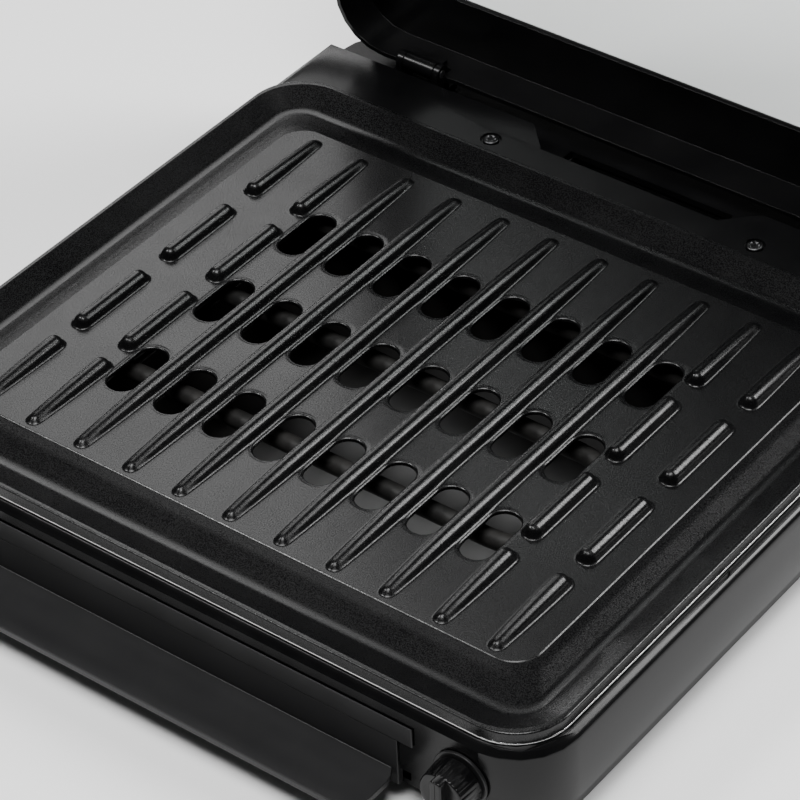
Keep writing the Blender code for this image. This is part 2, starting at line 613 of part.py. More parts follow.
def build_housing():
    """Make the moulded housing with its well, rear deck, mouths, bores and screw bosses."""
    edge = HOUSING_EDGE
    rings = []
    for inset, drop in ((0.0, HOUSING_TOP_Z - HOUSING_BOTTOM_Z), (0.0, edge), (edge / 4, edge / 3), (edge, 0.0)):
        rings.append(plate_ring(HOUSING_HALF_X - inset, HOUSING_FRONT - inset, HOUSING_REAR - inset,
                                HOUSING_RADIUS - inset, HOUSING_TOP_Z - drop))
    housing = loft("housing_shell", rings, "black_moulding")
    inside = HOUSING_HALF_X - SIDE_WALL
    low = HOUSING_BOTTOM_Z - OVERRUN
    high = HOUSING_TOP_Z + OVERRUN
    ceiling = DECK_Z - HOUSING_WALL
    front_wall = -HOUSING_FRONT + HOUSING_WALL
    rear_wall = HOUSING_REAR - HOUSING_WALL
    seat = HOUSING_TOP_Z - RIM_RECESS
    flange_x = CREST_HALF_X + FLANGE_WIDTH + RUN_GAP
    flange_front = CREST_FRONT + FLANGE_WIDTH + RUN_GAP
    flange_rear = CREST_REAR + FLANGE_WIDTH + RUN_GAP
    well_rear = LINER_REAR + RUN_GAP
    corner = HOUSING_RADIUS - SIDE_WALL
    lower = prism("cavity_lower", rounded_rectangle(-inside, inside, front_wall, rear_wall, corner), low, ceiling)
    well = prism("cavity_well", rounded_rectangle(-inside, inside, -LINER_FRONT - RUN_GAP, well_rear, corner),
                 ceiling - OVERRUN, seat)
    rebate = prism("cavity_rebate",
                   rounded_rectangle(-flange_x, flange_x, -flange_front, flange_rear, CREST_RADIUS + RUN_GAP),
                   seat - TOUCH_GAP, high)
    ledge_front = flange_rear + WELL_REAR_WALL
    under_ledge = prism("cavity_ledge", rectangle(-inside, inside, ledge_front, LEDGE_REAR - HOUSING_WALL),
                        ceiling - OVERRUN, HOUSING_TOP_Z - HOUSING_WALL)
    step = prism("cut_deck", rectangle(-HOUSING_HALF_X - OVERRUN, HOUSING_HALF_X + OVERRUN,
                                       LEDGE_REAR, HOUSING_REAR + OVERRUN), DECK_Z, high)
    flare = NOTCH_HALF_X + NOTCH_FLARE
    notch = prism("cut_notch", [(flare, LEDGE_REAR + OVERRUN), (-flare, LEDGE_REAR + OVERRUN), (-flare, LEDGE_REAR),
                                (-NOTCH_HALF_X, LEDGE_REAR - NOTCH_FLARE), (-NOTCH_HALF_X, NOTCH_FRONT),
                                (NOTCH_HALF_X, NOTCH_FRONT), (NOTCH_HALF_X, LEDGE_REAR - NOTCH_FLARE),
                                (flare, LEDGE_REAR)], DECK_Z, high)
    for cutter in (lower, well, under_ledge, rebate, step, notch):
        combine(housing, cutter)
    cut_box(housing, "cut_intake", (-INTAKE_HALF_X, INTAKE_HALF_X), (INTAKE_FRONT, INTAKE_REAR),
            (ceiling - OVERRUN, high))
    cut_box(housing, "cut_tails", (HEATER_ENTRY_X - 2 * HEATER_RADIUS, HEATER_EXIT_X + 2 * HEATER_RADIUS),
            (LINER_REAR, ledge_front + OVERRUN), (ceiling - OVERRUN, HEATER_Z + HEATER_RADIUS + TOUCH_GAP))
    mouth = TRAY_HALF_X + MOUTH_CLEARANCE
    cut_box(housing, "cut_mouth", (-mouth, mouth), (-HOUSING_FRONT - OVERRUN, front_wall + OVERRUN),
            (low, MOUTH_TOP_Z))
    for side in (-1, 1):
        outline = [(side * flange_x + FINGER_DEPTH * math.cos(angle), FINGER_Y + FINGER_LENGTH / 2 * math.sin(angle))
                   for angle in (2 * math.pi * k / ROUND_STEPS for k in range(ROUND_STEPS))]
        combine(housing, prism("cut_finger_" + ("left" if side < 0 else "right"), outline, seat, high))
    for x, y, name in corner_places(BOSS_X, BOSS_FRONT, BOSS_REAR):
        boss = rod("boss_" + name, (x, y, HOUSING_BOTTOM_Z - RIM_RECESS), (x, y, BOSS_TOP_Z), BOSS_RADIUS)
        web = box("boss_web_" + name, tuple(sorted((x, math.copysign(HOUSING_HALF_X - SIDE_WALL / 2, x)))),
                  (y - BOSS_RADIUS / 2, y + BOSS_RADIUS / 2), (HOUSING_BOTTOM_Z, BOSS_TOP_Z))
        combine(housing, boss, "UNION")
        combine(housing, web, "UNION")
        combine(housing, rod("cut_boss_" + name, (x, y, low), (x, y, BOSS_TOP_Z - BOSS_RADIUS / 2),
                             SCREW_RADIUS + TOUCH_GAP))
    combine(housing, rod("cut_shaft", (KNOB_X, -HOUSING_FRONT - OVERRUN, CONTROL_Z),
                         (KNOB_X, front_wall + OVERRUN, CONTROL_Z), SHAFT_RADIUS + RUN_GAP))
    combine(housing, rod("cut_lens", (LENS_X, -HOUSING_FRONT - OVERRUN, CONTROL_Z),
                         (LENS_X, front_wall + OVERRUN, CONTROL_Z), LENS_RADIUS + TOUCH_GAP))
    half_switch = SWITCH_WIDTH / 2 + TOUCH_GAP
    cut_box(housing, "cut_switch", (SWITCH_X - half_switch, SWITCH_X + half_switch),
            (-HOUSING_FRONT - OVERRUN, front_wall + OVERRUN),
            (CONTROL_Z - SWITCH_HEIGHT / 2 - TOUCH_GAP, CONTROL_Z + SWITCH_HEIGHT / 2 + TOUCH_GAP))
    cut_box(housing, "cut_grille", (-GRILLE_HALF_X - TOUCH_GAP, GRILLE_HALF_X + TOUCH_GAP),
            (rear_wall - OVERRUN, HOUSING_REAR + OVERRUN), (GRILLE_BOTTOM_Z - TOUCH_GAP, GRILLE_TOP_Z + TOUCH_GAP))
    cut_box(housing, "cut_inlet", (INLET_X - INLET_WIDTH / 2 - TOUCH_GAP, INLET_X + INLET_WIDTH / 2 + TOUCH_GAP),
            (rear_wall - OVERRUN, HOUSING_REAR + OVERRUN),
            (INLET_Z - INLET_HEIGHT / 2 - TOUCH_GAP, INLET_Z + INLET_HEIGHT / 2 + TOUCH_GAP))
    for side, name in ((-1, "left"), (1, "right")):
        x = side * LEDGE_SCREW_X
        combine(housing, rod("cut_ledge_screw_" + name, (x, LEDGE_SCREW_Y, HOUSING_TOP_Z - HOUSING_WALL - OVERRUN),
                             (x, LEDGE_SCREW_Y, high), SCREW_RADIUS + TOUCH_GAP))
        combine(housing, rod("cut_counterbore_" + name, (x, LEDGE_SCREW_Y, HOUSING_TOP_Z - COUNTERBORE_DEPTH),
                             (x, LEDGE_SCREW_Y, high), COUNTERBORE_RADIUS))


def corner_places(half_x, front, rear):
    """Return the four corner places of a pattern, with a name for each."""
    return ((-half_x, -front, "front_left"), (half_x, -front, "front_right"),
            (-half_x, rear, "rear_left"), (half_x, rear, "rear_right"))


def build_base():
    """Make the plinth, feet, base screws and tray rails."""
    half_x = HOUSING_HALF_X - PLINTH_INSET
    front = HOUSING_FRONT - PLINTH_INSET
    rear = HOUSING_REAR - PLINTH_INSET
    radius = HOUSING_RADIUS - PLINTH_INSET
    top = HOUSING_BOTTOM_Z - TOUCH_GAP
    floor = PLINTH_BOTTOM_Z + PLINTH_WALL
    plinth = prism("bottom_cover", rounded_rectangle(-half_x, half_x, -front, rear, radius), PLINTH_BOTTOM_Z, top,
                   "black_moulding")
    wall = PLINTH_WALL
    combine(plinth, prism("cavity_plinth", rounded_rectangle(-half_x + wall, half_x - wall, -front + wall,
                                                             rear - wall, radius - wall), floor, top + OVERRUN))
    mouth = TRAY_HALF_X + MOUTH_CLEARANCE
    cut_box(plinth, "cut_plinth_mouth", (-mouth, mouth), (-front - OVERRUN, -front + wall + OVERRUN),
            (floor, top + OVERRUN))
    for x, y, name in corner_places(BOSS_X, BOSS_FRONT, BOSS_REAR):
        combine(plinth, rod("cut_screw_" + name, (x, y, PLINTH_BOTTOM_Z - OVERRUN), (x, y, floor + OVERRUN),
                            SCREW_RADIUS + TOUCH_GAP))
        combine(plinth, rod("cut_head_" + name, (x, y, PLINTH_BOTTOM_Z - OVERRUN),
                            (x, y, PLINTH_BOTTOM_Z + SCREW_HEAD), SCREW_HEAD_RADIUS + TOUCH_GAP))
        head_top = PLINTH_BOTTOM_Z + SCREW_HEAD - TOUCH_GAP
        screw = rod("base_screw_" + name, (x, y, head_top - SCREW_HEAD / 2), (x, y, head_top + SCREW_LENGTH),
                    SCREW_RADIUS, "steel", steps=ROUND_STEPS // 2)
        combine(screw, rod("head_" + name, (x, y, PLINTH_BOTTOM_Z), (x, y, head_top), SCREW_HEAD_RADIUS), "UNION")
    for x, y, name in corner_places(FOOT_X, FOOT_FRONT, FOOT_REAR):
        smooth(rod("foot_" + name, (x, y, 0.0), (x, y, PLINTH_BOTTOM_Z - TOUCH_GAP), FOOT_RADIUS - FOOT_TAPER,
                   "rubber", FOOT_RADIUS))
    for side, name in ((-1, "left"), (1, "right")):
        inner = side * (mouth + TOUCH_GAP)
        outer = inner + side * RAIL_WIDTH
        run = (-front + wall + TOUCH_GAP, TRAY_REAR + RAIL_WIDTH)
        rail = box("tray_rail_" + name, tuple(sorted((inner, outer))), run, (floor + TOUCH_GAP, RAIL_TOP_Z),
                   "bright_sheet")
        shelf = box("rail_shelf_" + name, tuple(sorted((inner - side * RAIL_SHELF, outer))), run,
                    (floor + TOUCH_GAP, TRAY_FLOOR_Z - TOUCH_GAP))
        combine(rail, shelf, "UNION")


def build_liner():
    """Make the heat liner: a rim under the plate, a wall and a sloped hopper that drains to the tray."""
    sheet = LINER_SHEET
    rim_top = HOUSING_TOP_Z - TOUCH_GAP / 2
    rim_low = HOUSING_TOP_Z - RIM_RECESS + TOUCH_GAP
    rim_x = CREST_HALF_X + FLANGE_WIDTH
    wall_radius = CREST_RADIUS - FLANGE_WIDTH
    rim = (rim_x, CREST_FRONT + FLANGE_WIDTH, CREST_REAR + FLANGE_WIDTH, CREST_RADIUS)
    wall = (LINER_HALF_X, LINER_FRONT, LINER_REAR, wall_radius)
    inner = (LINER_HALF_X - sheet, LINER_FRONT - sheet, LINER_REAR - sheet, wall_radius - sheet)
    hopper = (HOPPER_HALF_X, HOPPER_FRONT, HOPPER_REAR, TRAY_RADIUS)
    rings = [plate_ring(*rim, rim_low), plate_ring(*wall, rim_low), plate_ring(*wall, LINER_HIP_Z - sheet),
             plate_ring(*hopper, HOPPER_Z - sheet), plate_ring(*hopper, HOPPER_Z), plate_ring(*inner, LINER_HIP_Z),
             plate_ring(*inner, rim_top), plate_ring(*rim, rim_top)]
    liner = loft("heat_liner", rings, "bright_sheet", cyclic=True)
    for x, name in ((HEATER_ENTRY_X, "entry"), (HEATER_EXIT_X, "exit")):
        combine(liner, rod("cut_liner_" + name, (x, LINER_REAR - OVERRUN, HEATER_Z),
                           (x, LINER_REAR + OVERRUN, HEATER_Z), HEATER_RADIUS + TOUCH_GAP))
    return liner


def build_heater():
    """Make the bent tube heater, its two supports and the terminal block."""
    runs = [HEATER_FIRST_RUN - k * HEATER_RUN_PITCH for k in range(HEATER_RUN_COUNT)]
    points = [(HEATER_ENTRY_X, HEATER_TAIL_Y), (HEATER_ENTRY_X, runs[0])]
    for k, y in enumerate(runs):
        leftwards = k % 2 == 0
        if k:
            points.append((HEATER_RIGHT if leftwards else -HEATER_LEFT, y))
        if k < HEATER_RUN_COUNT - 1:
            points.append((-HEATER_LEFT if leftwards else HEATER_RIGHT, y))
    points += [(HEATER_EXIT_X, runs[-1]), (HEATER_EXIT_X, HEATER_TAIL_Y)]
    path = fillet_path([(x, y, HEATER_Z) for x, y in points], HEATER_RUN_PITCH / 2)
    tube("heater_tube", path, HEATER_RADIUS, "heater_sheath")
    top = HEATER_Z - HEATER_RADIUS - TOUCH_GAP
    for side, name in ((-1, "left"), (1, "right")):
        inner = side * (HOPPER_HALF_X - SUPPORT_WIDTH)
        outer = side * (HOPPER_HALF_X + SUPPORT_WIDTH)
        slope = (LINER_HIP_Z - HOPPER_Z) / (LINER_HALF_X - LINER_SHEET - HOPPER_HALF_X)
        seat = HOPPER_Z + slope * SUPPORT_WIDTH + TOUCH_GAP
        support = box("heater_support_" + name, tuple(sorted((inner, outer))),
                      (runs[-1] - SUPPORT_WIDTH, HEATER_FIRST_RUN + SUPPORT_WIDTH / 2), (seat, top), "steel")
        bevel(support, TOUCH_GAP, 1)
    block = box("terminal_block", (HEATER_ENTRY_X - TERMINAL_DEPTH, HEATER_EXIT_X + TERMINAL_DEPTH),
                (HEATER_TAIL_Y + TOUCH_GAP, HEATER_TAIL_Y + TERMINAL_DEPTH),
                (HEATER_Z - HEATER_RADIUS - TOUCH_GAP - LINER_SHEET, HOUSING_TOP_Z - HOUSING_WALL - TOUCH_GAP),
                "ceramic")
    bevel(block, LINER_SHEET)


def build_tray():
    """Make the drip tray with its front panel and pull lip."""
    half = TRAY_HALF_X
    front = HOUSING_FRONT
    rear = TRAY_REAR
    low = TRAY_FLOOR_Z
    high = TRAY_TOP_Z
    panel = HOUSING_WALL
    pan_front = front - panel - TOUCH_GAP
    pan = loft("drip_tray", [(rounded_rectangle(-half + TRAY_DRAFT, half - TRAY_DRAFT, -pan_front + TRAY_DRAFT,
                                                rear - TRAY_DRAFT, TRAY_RADIUS), low),
                             (rounded_rectangle(-half, half, -pan_front, rear, TRAY_RADIUS), high)], "pale_aluminium")
    wall = TRAY_WALL
    hollow = loft("cavity_tray", [(rounded_rectangle(-half + TRAY_DRAFT + wall, half - TRAY_DRAFT - wall,
                                                     -pan_front + TRAY_DRAFT + wall, rear - TRAY_DRAFT - wall,
                                                     TRAY_RADIUS), low + wall),
                                  (rounded_rectangle(-half + wall, half - wall, -pan_front + wall, rear - wall,
                                                     TRAY_RADIUS), high + TOUCH_GAP)])
    combine(pan, hollow)
    lip = prism("tray_front", rounded_rectangle(-half, half, -front - LIP_REACH, -front + panel, LIP_RADIUS),
                LIP_TOP_Z - LIP_THICK, LIP_TOP_Z, "black_moulding")
    square = box("tray_panel", (-half, half), (-front, -front + panel), (low, high))
    combine(lip, square, "UNION")


def build_controls():
    """Make the trim strip, knob, thermostat, rocker switch and lamp lens."""
    face = -HOUSING_FRONT
    trim = box("front_trim", (-TRIM_HALF_X, TRIM_HALF_X), (face - TOUCH_GAP - TRIM_THICK, face - TOUCH_GAP),
               (TRIM_BOTTOM_Z, TRIM_TOP_Z), "grey_moulding")
    bevel(trim, TOUCH_GAP, 1)
    bezel = rod("knob_bezel", (KNOB_X, face - TOUCH_GAP, CONTROL_Z), (KNOB_X, face - TOUCH_GAP - BEZEL_THICK, CONTROL_Z),
                BEZEL_RADIUS, "grey_moulding", steps=2 * ROUND_STEPS)
    combine(bezel, rod("cut_bezel", (KNOB_X, face + OVERRUN, CONTROL_Z), (KNOB_X, face - OVERRUN, CONTROL_Z),
                       SHAFT_RADIUS + RUN_GAP))
    back = face - TOUCH_GAP - BEZEL_THICK - RUN_GAP
    tip = back - KNOB_LENGTH
    knob = rod("control_knob", (KNOB_X, back, CONTROL_Z), (KNOB_X, tip + KNOB_GRIP_RISE, CONTROL_Z), KNOB_RADIUS,
               "black_moulding", KNOB_RADIUS - KNOB_GRIP_RISE / 4, 2 * ROUND_STEPS)
    combine(knob, box("knob_grip", (KNOB_X - KNOB_GRIP_WIDTH / 2, KNOB_X + KNOB_GRIP_WIDTH / 2),
                      (tip, tip + KNOB_LENGTH / 2),
                      (CONTROL_Z - KNOB_RADIUS + KNOB_DISC, CONTROL_Z + KNOB_RADIUS - KNOB_DISC)), "UNION")
    combine(knob, rod("cut_knob", (KNOB_X, back + OVERRUN, CONTROL_Z), (KNOB_X, back - SHAFT_ENGAGE, CONTROL_Z),
                      SHAFT_RADIUS + TOUCH_GAP))
    wall = face + HOUSING_WALL
    stat_front = wall + TOUCH_GAP
    shaft_end = stat_front + THERMOSTAT_DEPTH / 2
    smooth(rod("thermostat_shaft", (KNOB_X, back - SHAFT_ENGAGE + TOUCH_GAP, CONTROL_Z),
               (KNOB_X, shaft_end, CONTROL_Z), SHAFT_RADIUS, "steel"))
    stat = box("thermostat", (KNOB_X - THERMOSTAT_WIDTH / 2, KNOB_X + THERMOSTAT_WIDTH / 2 - BOSS_RADIUS),
               (stat_front, stat_front + THERMOSTAT_DEPTH), (THERMOSTAT_BOTTOM_Z, THERMOSTAT_TOP_Z), "ceramic")
    combine(stat, rod("cut_thermostat", (KNOB_X, stat_front - OVERRUN, CONTROL_Z),
                      (KNOB_X, shaft_end + TOUCH_GAP, CONTROL_Z), SHAFT_RADIUS + TOUCH_GAP))
    half_w = SWITCH_WIDTH / 2
    half_h = SWITCH_HEIGHT / 2
    switch = box("switch_frame", (SWITCH_X - half_w, SWITCH_X + half_w),
                 (face - TOUCH_GAP, face + SWITCH_DEPTH), (CONTROL_Z - half_h, CONTROL_Z + half_h), "black_moulding")
    flange = prism("switch_flange", rounded_rectangle(
        SWITCH_X - half_w - SWITCH_FLANGE, SWITCH_X + half_w + SWITCH_FLANGE,
        CONTROL_Z - half_h - SWITCH_FLANGE, CONTROL_Z + half_h + SWITCH_FLANGE, SWITCH_FLANGE),
        face - TOUCH_GAP - SWITCH_FLANGE_THICK, face - TOUCH_GAP, axis="Y")
    combine(switch, flange, "UNION")
    play = ROCKER_DISH
    cut_box(switch, "cut_rocker", (SWITCH_X - ROCKER_WIDTH / 2 - RUN_GAP, SWITCH_X + ROCKER_WIDTH / 2 + RUN_GAP),
            (face - OVERRUN, face + SWITCH_DEPTH + OVERRUN),
            (CONTROL_Z - ROCKER_HEIGHT / 2 - play, CONTROL_Z + ROCKER_HEIGHT / 2 + play))
    half = ROCKER_HEIGHT / 2
    outline = [(ROCKER_DEPTH / 2, -half / 2), (ROCKER_DEPTH / 2, half / 2), (0.0, half),
               (-ROCKER_PROUD, half - RUN_GAP), (-ROCKER_PROUD + ROCKER_DISH, 0.0), (-ROCKER_PROUD, -half + RUN_GAP),
               (0.0, -half)]
    rocker = prism("power_rocker", outline, -ROCKER_WIDTH / 2, ROCKER_WIDTH / 2, "black_moulding", "X")
    rocker.location = (SWITCH_X, face + RUN_GAP, CONTROL_Z)
    rocker.rotation_euler.x = ROCKER_TILT
    lens = rod("lamp_lens", (LENS_X, face - LENS_PROUD, CONTROL_Z), (LENS_X, face + LENS_LENGTH, CONTROL_Z),
               LENS_RADIUS, "lamp_red")
    smooth(lens)


def build_fan():
    """Make the cross-flow smoke fan, its scroll, cheeks, motor, rear grille and power inlet."""
    outline = []
    for k in range(FAN_BLADES):
        for share, turn in FAN_BLADE_SHARES:
            angle = 2 * math.pi * (k + turn) / FAN_BLADES
            outline.append((share * FAN_RADIUS * math.cos(angle), share * FAN_RADIUS * math.sin(angle)))
    drum = prism("fan_drum", outline, -FAN_HALF_LENGTH, FAN_HALF_LENGTH, "black_moulding", "X")
    drum.location = (0.0, FAN_Y, FAN_Z)
    combine(drum, rod("cut_drum", (-HOUSING_HALF_X, FAN_Y, FAN_Z), (HOUSING_HALF_X, FAN_Y, FAN_Z),
                      FAN_SHAFT_RADIUS + TOUCH_GAP))
    cheek_in = FAN_HALF_LENGTH + RUN_GAP
    cheek_out = cheek_in + CHEEK_THICK
    motor_start = cheek_out + TOUCH_GAP
    smooth(rod("fan_shaft", (-cheek_out - CHEEK_THICK, FAN_Y, FAN_Z),
               (motor_start + MOTOR_NECK + MOTOR_LENGTH / 2, FAN_Y, FAN_Z), FAN_SHAFT_RADIUS, "steel"))
    floor = PLINTH_BOTTOM_Z + PLINTH_WALL + TOUCH_GAP
    for side, name in ((-1, "left"), (1, "right")):
        cheek = prism("fan_cheek_" + name, rounded_rectangle(
            FAN_Y - CHEEK_HALF_DEPTH, FAN_Y + CHEEK_HALF_DEPTH, floor, CHEEK_TOP_Z, CHEEK_THICK),
            *sorted((side * cheek_in, side * cheek_out)), "steel", "X")
        combine(cheek, rod("cut_cheek_" + name, (side * cheek_in - OVERRUN, FAN_Y, FAN_Z),
                           (side * cheek_out + OVERRUN, FAN_Y, FAN_Z), FAN_SHAFT_RADIUS + TOUCH_GAP))
    inner = FAN_RADIUS + SCROLL_GAP
    outer = inner + SCROLL_SHEET
    turns = [SCROLL_START + (SCROLL_END - SCROLL_START) * k / ROUND_STEPS for k in range(ROUND_STEPS + 1)]
    arc = [(FAN_Y + inner * math.cos(a), FAN_Z + inner * math.sin(a)) for a in turns]
    arc += [(FAN_Y + outer * math.cos(a), FAN_Z + outer * math.sin(a)) for a in reversed(turns)]
    prism("fan_scroll", arc, -FAN_HALF_LENGTH, FAN_HALF_LENGTH, "black_moulding", "X")
    motor = rod("fan_motor", (motor_start + MOTOR_NECK, FAN_Y, FAN_Z),
                (motor_start + MOTOR_NECK + MOTOR_LENGTH, FAN_Y, FAN_Z), MOTOR_RADIUS, "motor_can")
    combine(motor, rod("motor_neck", (motor_start, FAN_Y, FAN_Z), (motor_start + 2 * MOTOR_NECK, FAN_Y, FAN_Z),
                       MOTOR_RADIUS / 2), "UNION")
    combine(motor, rod("cut_motor", (motor_start - OVERRUN, FAN_Y, FAN_Z),
                       (motor_start + MOTOR_NECK + MOTOR_LENGTH / 2 + TOUCH_GAP, FAN_Y, FAN_Z),
                       FAN_SHAFT_RADIUS + TOUCH_GAP))
    grille = box("rear_grille", (-GRILLE_HALF_X, GRILLE_HALF_X), (HOUSING_REAR - HOUSING_WALL, HOUSING_REAR),
                 (GRILLE_BOTTOM_Z, GRILLE_TOP_Z), "black_moulding")
    pitch = GRILLE_BAR + GRILLE_SLOT
    count = int((2 * (GRILLE_HALF_X - GRILLE_BORDER) + GRILLE_BAR) / pitch)
    slots = bmesh.new()
    for k in range(count):
        x = (k - (count - 1) / 2) * pitch
        made = bmesh.ops.create_cube(slots, size=1.0)
        size = Vector((GRILLE_SLOT, HOUSING_WALL + 2 * OVERRUN, GRILLE_TOP_Z - GRILLE_BOTTOM_Z - 2 * GRILLE_BORDER))
        place = Vector((x, HOUSING_REAR - HOUSING_WALL / 2, (GRILLE_TOP_Z + GRILLE_BOTTOM_Z) / 2))
        bmesh.ops.transform(slots, matrix=Matrix.Translation(place) @ Matrix.Diagonal(size.to_4d()),
                            verts=made["verts"])
    combine(grille, link_mesh("grille_slots", slots))
    half_w = INLET_WIDTH / 2
    half_h = INLET_HEIGHT / 2
    outline = rounded_rectangle(INLET_X - half_w, INLET_X + half_w, INLET_Z - half_h, INLET_Z + half_h, INLET_WALL)
    inlet = prism("power_inlet", outline, HOUSING_REAR - INLET_DEPTH, HOUSING_REAR, "black_moulding", "Y")
    wall = INLET_WALL
    mouth = rounded_rectangle(INLET_X - half_w + wall, INLET_X + half_w - wall, INLET_Z - half_h + wall,
                              INLET_Z + half_h - wall, INLET_WALL)
    combine(inlet, prism("cut_socket", mouth, HOUSING_REAR - INLET_DEPTH + INLET_FLOOR, HOUSING_REAR + OVERRUN,
                         axis="Y"))
    root = HOUSING_REAR - INLET_DEPTH + INLET_FLOOR
    for k in (-1, 0, 1):
        x = INLET_X + k * INLET_PIN_PITCH
        combine(inlet, rod("inlet_pin_shape_" + str(k + 2), (x, root - INLET_FLOOR / 2, INLET_Z),
                           (x, root + INLET_PIN_LENGTH, INLET_Z), INLET_PIN_RADIUS, steps=ROUND_STEPS // 2), "UNION")


def build_ledge_screws():
    """Make the two screws that lie in counterbores of the rear ledge."""
    for side, name in ((-1, "left"), (1, "right")):
        x = side * LEDGE_SCREW_X
        seat = HOUSING_TOP_Z - COUNTERBORE_DEPTH + TOUCH_GAP
        top = seat + SCREW_HEAD
        screw = rod("ledge_screw_" + name, (x, LEDGE_SCREW_Y, seat + SCREW_HEAD / 2),
                    (x, LEDGE_SCREW_Y, seat - LEDGE_SCREW_LENGTH), SCREW_RADIUS, "steel", steps=ROUND_STEPS // 2)
        combine(screw, rod("ledge_head_" + name, (x, LEDGE_SCREW_Y, seat), (x, LEDGE_SCREW_Y, top),
                           SCREW_HEAD_RADIUS, end_radius=SCREW_HEAD_RADIUS - SCREW_HEAD / 2), "UNION")


def lid_ring(inset_x, inset_front, inset_rear, radius, z):
    """Return one ring of the closed lid, in the hinge's own frame."""
    return (rounded_rectangle(-LID_HALF_X + inset_x, LID_HALF_X - inset_x, -LID_FRONT + inset_front - HINGE_Y,
                              LID_REAR - inset_rear - HINGE_Y, radius), z - HINGE_Z)


def build_lid(axle):
    """Make the lid's frame, glass, gasket, handle and screws, all carried by the hinge empty."""
    rim = LID_RIM_Z
    top = rim + LID_HEIGHT
    under = top - LID_FLANGE
    edge = LID_EDGE
    skirt = LID_SKIRT
    border = (LID_BORDER, LID_BORDER_FRONT, LID_BORDER_REAR)
    lap = tuple(width - GLASS_LAP for width in border)
    seat = top - GLASS_THICK - GASKET_THICK - 2 * TOUCH_GAP
    frame = loft("lid_frame", [
        lid_ring(0.0, 0.0, 0.0, LID_RADIUS, rim),
        lid_ring(0.0, 0.0, 0.0, LID_RADIUS, top - edge),
        lid_ring(edge / 4, edge / 4, edge / 4, LID_RADIUS, top - edge / 3),
        lid_ring(edge, edge, edge, LID_RADIUS - edge, top),
        lid_ring(*lap, GLASS_RADIUS, top),
        lid_ring(*lap, GLASS_RADIUS, seat),
        lid_ring(*border, GLASS_RADIUS, seat),
        lid_ring(*border, GLASS_RADIUS, under),
        lid_ring(skirt, skirt, skirt, LID_RADIUS - skirt, under),
        lid_ring(skirt, skirt, skirt, LID_RADIUS - skirt, rim),
    ], "black_moulding", cyclic=True)
    pieces = [frame]
    reach = BARREL_HALF_LENGTH + EAR_GAP + EAR_THICK + EAR_GAP
    for side, name in ((-1, "left"), (1, "right")):
        x = side * BARREL_X
        cut = box("cut_hinge_" + name, (x - reach, x + reach), (-HINGE_NOTCH, HINGE_NOTCH),
                  (-HINGE_NOTCH, HINGE_NOTCH))
        barrel = rod("barrel_" + name, (x - BARREL_HALF_LENGTH, 0.0, 0.0), (x + BARREL_HALF_LENGTH, 0.0, 0.0),
                     BARREL_RADIUS)
        web = box("web_" + name, (x - BARREL_HALF_LENGTH, x + BARREL_HALF_LENGTH),
                  (LID_BEHIND_HINGE - HINGE_WEB_THICK, LID_BEHIND_HINGE), (HINGE_WEB_START, HINGE_NOTCH + skirt))
        bore = rod("bore_" + name, (x - reach, 0.0, 0.0), (x + reach, 0.0, 0.0), BARREL_BORE + TOUCH_GAP / 2)
        for other, operation in ((cut, "DIFFERENCE"), (barrel, "UNION"), (web, "UNION"), (bore, "DIFFERENCE")):
            combine(frame, other, operation)
            other.parent = axle
    gap = TOUCH_GAP
    thick = GASKET_THICK
    snug = tuple(width + gap for width in lap)
    glass_edge = tuple(width + 2 * gap + thick for width in lap)
    inner = tuple(width - gap for width in border)
    pieces.append(loft("lid_gasket", [
        lid_ring(*snug, GLASS_RADIUS, top - gap),
        lid_ring(*snug, GLASS_RADIUS, seat + gap / 2),
        lid_ring(*inner, GLASS_RADIUS, seat + gap / 2),
        lid_ring(*inner, GLASS_RADIUS, seat + gap / 2 + thick),
        lid_ring(*(width + thick for width in snug), GLASS_RADIUS, seat + gap / 2 + thick),
        lid_ring(*(width + thick for width in snug), GLASS_RADIUS, top - gap),
    ], "rubber", cyclic=True))
    pieces.append(loft("lid_glass", [
        lid_ring(*glass_edge, GLASS_RADIUS, seat + thick + gap),
        lid_ring(*glass_edge, GLASS_RADIUS, seat + thick + gap + GLASS_THICK),
    ], "glass"))
    bar_y = -LID_FRONT - HINGE_Y + HANDLE_SETBACK
    foot = top - HINGE_Z + TOUCH_GAP
    high = foot - TOUCH_GAP + HANDLE_RISE
    path = fillet_path([(-HANDLE_HALF_X, bar_y, foot), (-HANDLE_HALF_X, bar_y, high), (HANDLE_HALF_X, bar_y, high),
                        (HANDLE_HALF_X, bar_y, foot)], HANDLE_BEND)
    pieces.append(tube("lid_handle", path, HANDLE_BAR_RADIUS, "black_moulding", 3))
    for side, name in ((-1, "left"), (1, "right")):
        x = side * HANDLE_HALF_X
        head = under - HINGE_Z - TOUCH_GAP
        pieces.append(rod("handle_screw_" + name, (x, bar_y, head), (x, bar_y, head - SCREW_HEAD), SCREW_HEAD_RADIUS,
                          "steel", SCREW_RADIUS))
    for piece in pieces:
        piece.parent = axle


